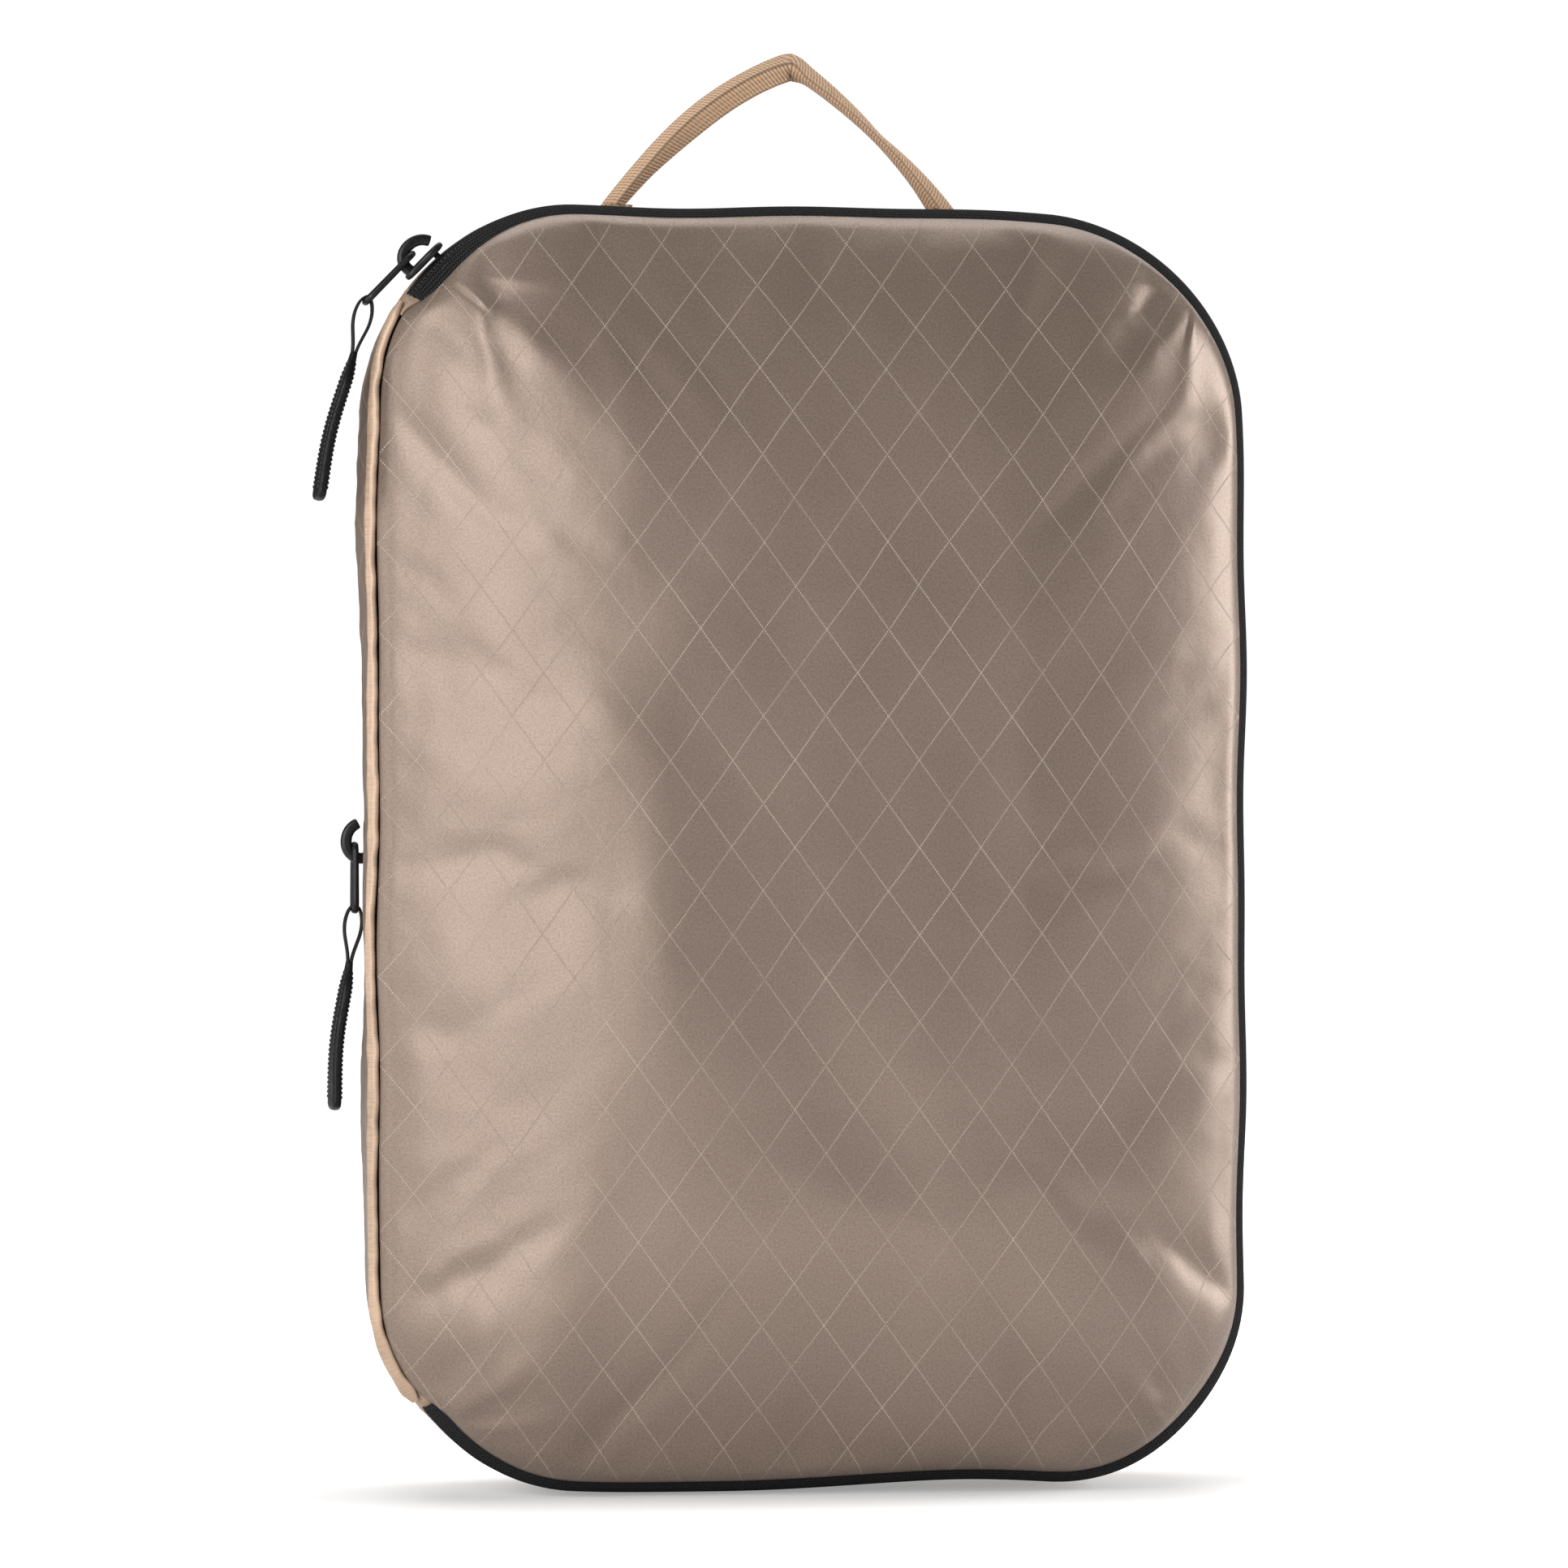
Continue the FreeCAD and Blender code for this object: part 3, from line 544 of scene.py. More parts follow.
def inside_depth(x, z):
    """How far each point lies inside the outline."""
    qx = np.abs(x) - (HALF_WIDTH - CORNER)
    qz = np.abs(z - HEIGHT / 2) - (HEIGHT / 2 - CORNER)
    beyond = np.hypot(np.maximum(qx, 0), np.maximum(qz, 0))
    return CORNER - beyond - np.minimum(np.maximum(qx, qz), 0)


def panel_mesh(name, edge_inset, edge_y, height, reach, way):
    """A domed panel: rings from the sewn edge inwards, then a grid. way is -1 for the front, 1 the back."""
    s = side_places()
    across = np.linspace(-HALF_WIDTH + INNER_INSET, HALF_WIDTH - INNER_INSET, GRID_COLUMNS + 1)
    upward = np.linspace(INNER_INSET, HEIGHT - INNER_INSET, GRID_ROWS + 1)
    left = [(across[0], z) for z in upward[:-1]]
    top = [(x, upward[-1]) for x in across[:-1]]
    right = [(across[-1], z) for z in upward[:0:-1]]
    bottom = [(x, upward[0]) for x in across[:0:-1]]
    inner = np.array(left + top + right + bottom)
    points = []
    edge = place(s, edge_inset(s), 0.0)[:, [0, 2]]
    for k in range(RINGS):
        r = (k / RINGS) ** 1.25
        flat = edge * (1 - r) + inner * r
        margin = (edge_inset(s) + pulled_in(s)) * (1 - r) + EDGE_MARGIN * r
        rise = dome(inside_depth(flat[:, 0], flat[:, 1]) - margin, height, reach(flat[:, 0]))
        base = edge_y(s) * (1 - r) + edge_y(RIGHT_MIDDLE) * r
        points.append(np.stack([flat[:, 0], base + way * rise, flat[:, 1]], 1))
    z, x = np.meshgrid(upward, across, indexing="ij")
    rise = dome(inside_depth(x, z) - EDGE_MARGIN, height, reach(x))
    middle = np.stack([x, edge_y(RIGHT_MIDDLE) + way * rise, z], -1)
    count = len(s)
    faces = list(grid_faces(RINGS, count, close_columns=True))
    first = RINGS * count
    columns = GRID_COLUMNS + 1
    border = ([first + i * columns for i in range(GRID_ROWS)]
              + [first + GRID_ROWS * columns + j for j in range(GRID_COLUMNS)]
              + [first + i * columns + GRID_COLUMNS for i in range(GRID_ROWS, 0, -1)]
              + [first + j for j in range(GRID_COLUMNS, 0, -1)])
    last = first - count
    faces += [(last + i, last + (i + 1) % count, border[(i + 1) % count], border[i]) for i in range(count)]
    faces += list(grid_faces(GRID_ROWS + 1, columns, offset=first)[:, ::-1])
    if way < 0:
        faces = [tuple(f)[::-1] for f in faces]
    points = np.concatenate(points + [middle.reshape(-1, 3)])
    obj = mesh_object(name, points, faces, points[:, [0, 2]], MATERIALS["shell_fabric"])
    pins = obj.vertex_groups.new(name="pins")
    pins.add(list(range(count)), 1.0, "REPLACE")
    pins.add(list(range(count, 2 * count)), 0.35, "REPLACE")
    return obj


def dome(depth, height, reach):
    """How high a panel stands at this depth in from its edge, where it climbs over this reach."""
    t = np.clip(depth / reach, 0, 1)
    return height * (1 - (1 - t) ** 2.3) ** (1 / 1.75)


def puff(obj, slack, pressure, cap, frames=20):
    """Lets a pinned panel swell as cloth, then keeps the result with each point moved no further than cap."""
    before = np.array([v.co for v in obj.data.vertices])
    cloth = obj.modifiers.new("cloth", "CLOTH")
    settings = cloth.settings
    settings.quality = 6
    settings.mass = 0.12
    settings.tension_stiffness = 22
    settings.compression_stiffness = 12
    settings.shear_stiffness = 6
    settings.bending_stiffness = 0.35
    settings.air_damping = 2.0
    settings.shrink_min = -slack
    settings.use_pressure = True
    settings.uniform_pressure_force = pressure
    settings.vertex_group_mass = "pins"
    settings.effector_weights.gravity = 0.0
    cloth.collision_settings.use_collision = False
    cloth.point_cache.frame_start = 1
    cloth.point_cache.frame_end = frames
    for step in range(1, frames + 1):
        bpy.context.scene.frame_set(step)
    graph = bpy.context.evaluated_depsgraph_get()
    after = np.array([v.co for v in obj.evaluated_get(graph).data.vertices])
    obj.modifiers.remove(cloth)
    bpy.context.scene.frame_set(1)
    move = after - before
    size = np.linalg.norm(move, axis=1)
    move *= (np.minimum(size, cap) / np.maximum(size, 1e-9))[:, None]
    obj.data.vertices.foreach_set("co", (before + move).ravel())
    obj.data.update()
    print("puffed", obj.name, "by", round(float(size.mean()) / MM, 2), "mm on average")


def refine(obj, levels=1):
    sub = obj.modifiers.new("subdivision", "SUBSURF")
    sub.levels = sub.render_levels = levels
    sub.uv_smooth = "PRESERVE_BOUNDARIES"
    return apply_modifiers(obj)


def move_points(obj, shift):
    """Adds shift(points) to the depth of every point."""
    co = np.array([v.co for v in obj.data.vertices])
    co[:, 1] += shift(co)
    obj.data.vertices.foreach_set("co", co.ravel())
    obj.data.update()


def along_and_off(co, start, end):
    """How far each point lies along a line from start to end in (x, z), as a share, and how far off it."""
    start, end = np.array(start) * MM, np.array(end) * MM
    along = end - start
    length = np.linalg.norm(along)
    along /= length
    offset = co[:, [0, 2]] - start
    return offset @ along / length, offset @ np.array((-along[1], along[0]))


def fold(co, start, end, width, height):
    """A soft ridge on the front panel, wider towards its end."""
    t, off = along_and_off(co, start, end)
    fade = smooth(t, -0.12, 0.15) * (1 - smooth(t, 0.45, 1.1))
    return height * MM * fade * np.exp(-((off / (width * MM * (0.45 + 0.75 * np.clip(t, 0, 1)))) ** 2))


# each fold's start and end in (x, z), its width and its height, in millimetres
FRONT_FOLDS = [
    ((-97, 333), (-64, 305), 6, 1.5), ((-97, 333), (-86, 282), 5, 1.0), ((-92, 338), (-60, 336), 4, 0.7),
    ((106, 334), (78, 300), 6, 1.5), ((106, 334), (100, 284), 4, 1.2), ((100, 338), (72, 337), 4, 0.8),
    ((-103, 22), (-74, 44), 5, 1.6), ((-100, 24), (-92, 62), 5, 1.0), ((-100, 19), (-62, 24), 4, 1.0),
    ((101, 17), (74, 44), 5, 1.6), ((101, 17), (94, 58), 6, 0.9), ((97, 15), (62, 20), 4, 1.0),
    ((-112, 60), (-72, 82), 7, 0.8), ((-116, 92), (-66, 100), 8, 0.4), ((-116, 210), (-66, 180), 10, 0.4),
    ((112, 210), (84, 176), 9, 0.4), ((112, 110), (82, 96), 9, 0.3), ((-60, 330), (-52, 250), 10, 0.8),
]


def dart(co, start, end, height):
    """A sewn dart: the fabric on one side of a short line lies over the other side."""
    t, off = along_and_off(co, start, end)
    fade = smooth(t, -0.5, 0.1) * (1 - smooth(t, 0.35, 1.0))
    step = smooth(off, -0.9 * MM, 0.5 * MM) * np.exp(-np.maximum(off, 0) / (7 * MM))
    groove = np.exp(-((off + 0.6 * MM) / (0.8 * MM)) ** 2)
    return fade * (height * step - 0.45 * groove) * MM


# each dart's start and end in (x, z) and its height, in millimetres
FRONT_DARTS = [((-101, 337), (-91, 327), 1.3), ((108, 337), (102, 317), 1.5), ((-107, 24), (-92, 14), -1.2),
               ((104, 15), (93, 25), 1.3)]


def uneven(co, broad_size, broad_seed, fine_size, fine_seed):
    """Slow waves, fine waves, and a share that is 0 at the sewn edge and 1 further in."""
    broad = noise_at(co * np.array((1.0, 0.0, 0.7)), broad_size, broad_seed)
    fine = noise_at(co * np.array((1.0, 0.0, 1.0)), fine_size, fine_seed)
    return broad * MM, fine * MM, smooth(inside_depth(co[:, 0], co[:, 2]), 0.004, 0.014)


def front_creases(co):
    out = np.zeros(len(co))
    for start, end, height in FRONT_DARTS:
        out -= dart(co, start, end, height)
    for start, end, width, height in FRONT_FOLDS:
        out -= 0.6 * fold(co, start, end, width, height)
    broad, fine, held = uneven(co, 0.048, 1.0, 0.016, 2.0)
    edge = 1 - smooth(inside_depth(co[:, 0], co[:, 2]), 0.010, 0.045)
    return held * (out + 1.5 * broad + 0.22 * fine * (0.35 + edge))


def back_creases(co):
    broad, fine, held = uneven(co, 0.050, 4.0, 0.015, 5.0)
    return held * (1.2 * broad + 0.4 * fine)


def line_inside(obj, thickness):
    """Gives a panel its thickness, with the lining on the inner face."""
    obj.data.materials.append(LINING)
    solid = obj.modifiers.new("thickness", "SOLIDIFY")
    solid.thickness = thickness
    solid.offset = -1
    solid.material_offset = 1
    solid.material_offset_rim = 0
    return apply_modifiers(obj)


def front_reach(x):
    """The front rises over a longer way from its left edge than from its right."""
    return (98 - 36 * smooth(x, -0.05, 0.05)) * MM


front = panel_mesh("front_panel_cloth", lid_edge_inset, lid_edge_y, 23.0 * MM, front_reach, -1)
puff(front, 0.0020, 4.0, 5 * MM)
refine(front, 2)
move_points(front, front_creases)
line_inside(front, PANEL_THICKNESS)
attach(front, "lid", "shell_fabric", "front_panel")

back = panel_mesh("back_panel_cloth", lambda s: (4.0 + 0 * s) * MM, lambda s: (24.2 + 0 * s) * MM,
                  17.5 * MM, lambda x: 60 * MM + 0 * x, 1)
puff(back, 0.008, 4.0, 5 * MM)
refine(back)
move_points(back, back_creases)
line_inside(back, PANEL_THICKNESS)
attach(back, "back", "shell_fabric", "back_panel")


# ---- gusset, tapes and bindings
def around(step=2.4 * MM):
    return np.linspace(0, OUTLINE, int(OUTLINE / step), endpoint=False)


def along(start, end, step=2.4 * MM):
    return np.linspace(start, end, max(int((end - start) / step), 4))


def profile(rows):
    def mark(function):
        function.rows = rows
        return function
    return mark


@profile(20)
def gusset_profile(s, t):
    y_front = -17.7 * MM + 3.4 * MM * zip_share(s)
    y = y_front + (14.7 * MM - y_front) * t
    roll_front = 0.9 * MM * np.clip(1 - t / 0.07, 0, 1) ** 2
    roll_rear = 3.9 * MM * np.clip((t - 0.84) / 0.16, 0, 1) ** 2.2
    left = smooth(s, OUTLINE - 0.17, OUTLINE - 0.10) + 1 - smooth(s, 0.10, 0.15)
    bulge = (-0.7 + 0.2 * left + 2.6 * near(s, 0.105, 0.05)) * MM * math.sin(math.pi * t) ** 0.8
    lean_in = 2.6 * MM * t * near(s, UPPER_LEFT + 0.012, 0.035)
    return roll_front + roll_rear - bulge + lean_in * (1 - smooth(t, 0.8, 1.0)), y


def wrinkles(depth, waves, power):
    """Moves a strip's points in and out by noise, less towards its sewn edges."""
    def move(points, s):
        t = np.linspace(0, 1, points.shape[0])[:, None]
        _, normals = outline(s)
        out = np.stack([normals[:, 0], 0 * s, normals[:, 1]], 1)
        sample = np.stack(np.broadcast_arrays(s[None, :] * 1.0, t * depth, 0 * t * s[None, :]), -1)
        wave = sum(noise_at(sample * np.array((1, stretch, 1)), size, seed) * height
                   for size, seed, stretch, height in waves)
        held = np.sin(np.pi * t) ** power
        points = points + (held * wave * MM)[..., None] * out[None]
        points[..., 2] = np.maximum(points[..., 2], FLOOR_CLEARANCE)
        return points
    return move


gusset_wrinkles = wrinkles(0.012, [(0.013, 3.0, 1, 0.55), (0.005, 6.0, 2.2, 0.22)], 0.7)
gusset = strip("gusset_cloth", around(), gusset_profile, "shell", "shell_fabric", ["gusset"], 0,
               wrinkle=gusset_wrinkles)
line_inside(gusset, 0.7 * MM)


TAPE_INSET = 0.55 * MM
TAPE_THICKNESS = 0.6 * MM


@profile(7)
def lid_tape_profile(s, t):
    inset = lid_edge_inset(s) + 1.0 * MM
    crown = 0.6 * MM * math.sin(math.pi * t)
    return inset + (TAPE_INSET - inset) * t - crown, (-25.1 + 5.95 * t) * MM


def flat_profile(rows, inset, change, crown, y, depth):
    """A nearly flat strip, with all of these in millimetres."""
    @profile(rows)
    def shape(s, t):
        return (inset + change * t - crown * math.sin(math.pi * t)) * MM + 0 * s, (y + depth * t) * MM
    return shape


body_tape_profile = flat_profile(7, TAPE_INSET / MM, 0.25, 0.15, -18.85, 5.1)
front_compression_profile = flat_profile(6, 4.0, -0.2, 0.2, 14.4, 4.45)
rear_compression_profile = flat_profile(6, 3.8, 0.3, 0.2, 19.15, 5.2)
zip_places = along(ZIP_START, ZIP_END)
for zip_half, places, tape_profile, body, slot in (
        ("main_zip_lid", zip_places, lid_tape_profile, "lid", "black_tape"),
        ("main_zip_body", zip_places, body_tape_profile, "shell", "black_tape"),
        ("compression_zip_front", around(), front_compression_profile, "shell", "tan_tape"),
        ("compression_zip_rear", around(), rear_compression_profile, "back", "tan_tape")):
    strip(f"{zip_half}_tape_knit", places, tape_profile, body, slot, [f"{zip_half}_tape"], TAPE_THICKNESS)

COIL_PITCH = 1.35 * MM
COIL_RISE = 0.62 * MM
COIL_REACH = 0.95 * MM
COIL_WIRE = 0.27 * MM


def coil(name, start, end, inset, y, turn_offset, body, slot, replaced):
    """A zip's nylon coil: one fine wire wound along the tape's edge."""
    turns = int((end - start) / COIL_PITCH)
    t = np.linspace(0, turns, turns * 8, endpoint=False)
    angle = 2 * math.pi * (t + turn_offset)
    centre = place(start + t * COIL_PITCH, inset + COIL_RISE * np.cos(angle), y + COIL_REACH * np.sin(angle))
    rings, faces = tube_along(centre, COIL_WIRE, 5)
    obj = mesh_object(name, rings, faces, np.zeros((rings.shape[0] * rings.shape[1], 2)), MATERIALS[slot])
    attach(obj, body, slot, replaced)


for name, replaced, run, inset, y, offset, body, slot in (
        ("main_zip_lid_coil_wire", "main_zip_lid_coil", (ZIP_START, ZIP_END), 2.2 * MM,
         MAIN_ZIP_Y - COIL_REACH, 0.0, "lid", "black_coil"),
        ("main_zip_body_coil_wire", "main_zip_body_coil", (ZIP_START, ZIP_END), 2.2 * MM,
         MAIN_ZIP_Y + COIL_REACH, 0.5, "shell", "black_coil"),
        ("compression_front_coil_wire", "compression_zip_front_coil", (0, OUTLINE), 5.4 * MM,
         COMPRESSION_ZIP_Y - COIL_REACH, 0.0, "shell", "tan_coil"),
        ("compression_rear_coil_wire", "compression_zip_rear_coil", (0, OUTLINE), 5.4 * MM,
         COMPRESSION_ZIP_Y + COIL_REACH, 0.5, "back", "tan_coil")):
    coil(name, *run, inset, y, offset, body, slot, replaced)


def bead(name, s, inset, y, radius, body):
    """A soft round bead of folded tape along a seam."""
    wobble = 1 + 0.10 * np.sin(s / 0.0031) + 0.08 * np.sin(s / 0.0017 + 2)
    path = place(s, inset, y)
    rings, faces = tube_along(path, radius * wobble, 10)
    around_bead = np.linspace(0, 2 * math.pi * radius, 10, endpoint=False)
    obj = mesh_object(f"{name}_tape", rings, faces, uv_grid(lengths(path), around_bead), MATERIALS["binding"])
    attach(obj, body, "binding", name)


spine_places = along(ZIP_END - OUTLINE + 0.003, ZIP_START - 0.003, 1.6 * MM)


def spine_roll():
    """Bias-cut satin rolled over the seam of the spine, flattened and lightly puckered."""
    s = spine_places
    turn = full_turn(16)
    taper = smooth(s, s[0] - 0.001, s[0] + 0.004) * (1 - smooth(s, s[-1] - 0.004, s[-1] + 0.001)) * 0.5 + 0.5
    pucker = 1 + 0.09 * np.sin(s / 0.0029 + 2 * np.sin(s / 0.011)) + 0.05 * np.sin(s / 0.0013)
    wide = (1.75 + 0.4 * near(s, LOWER_LEFT, 0.05) + 0.2 * np.sin(s / 0.014)) * MM * taper * pucker
    thin = 1.1 * MM * taper * (2 - pucker)
    rings = np.zeros((len(s), 16, 3))
    for k, angle in enumerate(turn):
        a, b = wide * math.cos(angle), thin * math.sin(angle)
        rings[:, k] = place(s, 0.55 * MM + 0.75 * a + 0.66 * b, -19.7 * MM - 0.66 * a + 0.75 * b)
    obj = mesh_object("spine_piping_satin", rings, grid_faces(len(s), 16, close_columns=True),
                      uv_grid(s, turn * 1.8 * MM), MATERIALS["spine_fabric"])
    attach(obj, "shell", "spine_fabric", "spine_piping")


spine_roll()
for seam, places, inset, y, radius, body in (
        ("lid_seam_binding", zip_places, lid_edge_inset(zip_places) + 1.6 * MM, -24.6 * MM, 0.8 * MM, "lid"),
        ("gusset_front_binding", zip_places, 1.9 * MM, -13.3 * MM, 0.7 * MM, "shell"),
        ("gusset_rear_binding", along(0, OUTLINE), 5.2 * MM, 14.0 * MM, 0.6 * MM, "shell"),
        ("back_seam_binding", along(0, OUTLINE), 5.4 * MM, 24.9 * MM, 0.6 * MM, "back")):
    bead(seam, places, inset, y, radius, body)


@profile(9)
def end_tab_profile(s, t):
    """A folded tab of satin over the zip's end, from the lid's edge to the gusset."""
    inset, y = lid_edge_inset(s) * (1 - t) - 0.2 * MM, (-20.6 + 6.9 * t) * MM
    return inset - 0.7 * MM * math.sin(math.pi * t), y


def end_tab(name, start, end, replaced):
    strip(name, along(start, end, 0.7 * MM), end_tab_profile, "shell", "spine_fabric", [replaced], 1.1 * MM,
          bevel=0.3 * MM)
    for k, at in enumerate((start + 1.3 * MM, end - 1.3 * MM)):
        at = np.array([at])
        line = np.array([place(at, *end_tab_profile(at, t))[0] for t in np.linspace(0.2, 0.85, 5)])
        _, normal = outline(at)
        out = np.array((normal[0, 0], -0.5, normal[0, 1])) * 0.15 * MM
        sew(f"{name}_stitches_{k}", [(p + out, line[-1] - line[0]) for p in line], 1.3 * MM, 0.16 * MM,
            "shell", "tan_thread")


def compression_end_cover():
    """Satin folded over the place where the two ends of the compression zip meet, under the bag."""
    low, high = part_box("compression_end_tab")
    places = along(BOTTOM_MIDDLE - high.x, BOTTOM_MIDDLE - low.x, 0.7 * MM)
    cover = flat_profile(7, 3.5, 0, 0.3, low.y / MM, (high.y - low.y) / MM)
    strip("compression_end_satin", places, cover, "shell", "spine_fabric", ["compression_end_tab"], 0.8 * MM,
          bevel=0.3 * MM)


compression_end_cover()


@profile(18)
def expansion_profile(s, t):
    ripple = 0.35 * MM * math.sin(math.pi * t * 5)
    return 8.7 * MM + ripple + 0 * s, (-15.5 + 39.0 * t) * MM


@profile(12)
def expansion_seam_profile(s, t):
    """From the gusset's rear edge in behind the teeth, then back along the expansion gusset's outside."""
    turn = smooth(t, 0.0, 0.55)
    return (4.7 + 3.25 * turn) * MM + 0 * s, (14.5 + 1.2 * turn + 4.4 * smooth(t, 0.35, 1.0)) * MM


strip("expansion_seam_cloth", around(), expansion_seam_profile, "shell", "shell_fabric", [], 0.2 * MM)
strip("expansion_gusset_cloth", around(), expansion_profile, "back", "shell_fabric", ["expansion_gusset"],
      0.5 * MM, wrinkle=wrinkles(0.020, [(0.012, 8.0, 1, 0.5)], 1.0))


# ---- handle
HANDLE_Y = 8 * MM
HANDLE_THICKNESS = 1.3 * MM
CREASE_FORWARD = 2.4 * MM
CREASE_LIFT = 1.6 * MM
# the feet, the peak and the bends of the handle's line in (x, z), in millimetres
HANDLE_FEET = ((-54, 359), (41, 359))
HANDLE_PEAK = (-2.5, 401)
HANDLE_BENDS = ((-28, 393), (26, 383))


def bent_leg(start, bend, end, count):
    """A curve from start to end that leans towards the bend."""
    t = np.linspace(0, 1, count)[:, None]
    start, bend, end = (np.array(point, float) for point in (start, bend, end))
    return (1 - t) ** 2 * start + 2 * t * (1 - t) * bend + t ** 2 * end


def soften(values, passes):
    """Rounds off a line or a row of values, and leaves its two ends where they are."""
    for _ in range(passes):
        values[1:-1] = 0.25 * values[:-2] + 0.5 * values[1:-1] + 0.25 * values[2:]
    return values


def smooth_line(points, count):
    """A smooth line of evenly spaced points that follows these ones."""
    points = np.asarray(points, float)
    length = lengths(points)
    at = np.linspace(0, length[-1], count)
    line = np.stack([np.interp(at, length, points[:, k]) for k in range(points.shape[1])], 1)
    return soften(line, 3)


def strap(name, centre, width_way, face_way, width, thickness, slot, rows=9):
    """A flat strap: a rounded oblong section swept along a line."""
    half, edge = width / 2, thickness / 2
    corner = np.radians(np.linspace(-90, 90, 5))
    outer = [(half - edge + edge * math.cos(a), edge * math.sin(a)) for a in corner]
    flat = [(x, edge) for x in np.linspace(half - edge, -half + edge, rows)[1:-1]]
    section = np.array(outer + flat + [(-x, -y) for x, y in outer] + [(-x, -y) for x, y in flat])
    points = (centre[:, None] + section[None, :, :1] * width_way[:, None]
              + section[None, :, 1:] * face_way[:, None])
    uvs = uv_grid(lengths(centre), section[:, 0] + half)
    return mesh_object(name, points, tube_faces(len(centre), len(section)), uvs, MATERIALS[slot])


HANDLE_POINTS = 120
# the webbing is creased along its middle: how far each half leans up, or down, at shares of its length
UPPER_LEAN = [(0.0, 30), (0.15, 28), (0.40, 26), (0.485, 30), (0.53, 42), (0.75, 14), (0.9, 34), (1.0, 44)]
LOWER_LEAN = [(0.0, 18), (0.10, 30), (0.25, 72), (0.45, 82), (0.495, 70), (0.53, 6), (0.75, 4), (0.9, 14),
              (1.0, 30)]


def keyed(keys, t):
    return np.interp(t, [k[0] for k in keys], [k[1] for k in keys])


def handle_strap():
    """Webbing folded lengthwise, with the crease towards the front, and pinched to a point at its top."""
    (left_foot, right_foot), (left_bend, right_bend) = HANDLE_FEET, HANDLE_BENDS
    rising = bent_leg(left_foot, left_bend, HANDLE_PEAK, HANDLE_POINTS // 2)
    falling = bent_leg(HANDLE_PEAK, right_bend, right_foot, HANDLE_POINTS - HANDLE_POINTS // 2 + 1)
    line = np.concatenate([rising, falling[1:]]) * MM
    t = np.linspace(0, 1, HANDLE_POINTS)
    centre = np.stack([line[:, 0], np.full(HANDLE_POINTS, HANDLE_Y - CREASE_FORWARD), line[:, 1]], 1)
    ahead = headings(centre)
    out = np.stack([-ahead[:, 2], 0 * t, ahead[:, 0]], 1)
    back = np.array((0, 1.0, 0))
    upper, lower = (np.radians(soften(keyed(keys, t), 4))[:, None] for keys in (UPPER_LEAN, LOWER_LEAN))
    up = (np.sin(upper) * out + np.cos(upper) * back, np.cos(upper) * out - np.sin(upper) * back, 1)
    down = (-np.sin(lower) * out + np.cos(lower) * back, -np.cos(lower) * out - np.sin(lower) * back, -1)
    crease_face = up[1] + down[1]
    crease_face /= np.maximum(np.linalg.norm(crease_face, axis=1), 0.2)[:, None]
    crease = centre + CREASE_LIFT * np.sin(lower) * out
    inwards, outwards = np.linspace(1, 0, 7), np.linspace(0, 1, 7)
    half = HANDLE_WIDTH / 2
    rows, marks = [], []
    for layer, leaves in ((1, ((up, inwards), (down, outwards))), (-1, ((down, inwards), (up, outwards)))):
        for (way, face, sign), runs in leaves:
            for run in runs:
                own = smooth(run, 0.0, 0.3)
                normal = face * own + crease_face * (1 - own)
                rows.append(crease + way * half * run + layer * normal * HANDLE_THICKNESS / 2)
                marks.append(half + sign * half * run)
    points = np.stack(rows, 1)
    faces = tube_faces(HANDLE_POINTS, points.shape[1])
    return mesh_object("handle_strap", points, faces, uv_grid(lengths(centre), np.array(marks)),
                       MATERIALS["webbing"])


handle = handle_strap()
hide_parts("handle_webbing")
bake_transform(handle)

for side, x, lean, replaced in (("left", -53 * MM, -1.5 * MM, ("handle_ends", "handle_bartacks")),
                                ("right", 41 * MM, 0.8 * MM, ())):
    rise = np.linspace(0, 1, 8)
    foot = np.stack([x - lean * rise, HANDLE_Y - 1.2 * MM + 0 * rise, 0.3565 + 0.0055 * rise], 1)
    across = np.tile((0.90, 0.43, 0.0), (8, 1))
    face = np.cross(across, (0, 0, 1.0))
    end = strap(f"handle_end_{side}", foot, across, face, 9.4 * MM, 1.2 * MM, "webbing")
    attach(end, "shell", "webbing", *replaced)


# ---- pull tabs
TAB_NECK = 14 * MM
# one side of the loop round the pull's bar: how far out from its middle and how far down, in millimetres
TAB_LOOP = [(0.0, -1.5), (1.2, -1.0), (1.9, 0.6), (2.5, 3.4), (2.3, 6.6), (1.5, 9.6), (0.7, 12.6),
            (0.35, 15.5), (0.35, 18.0)]


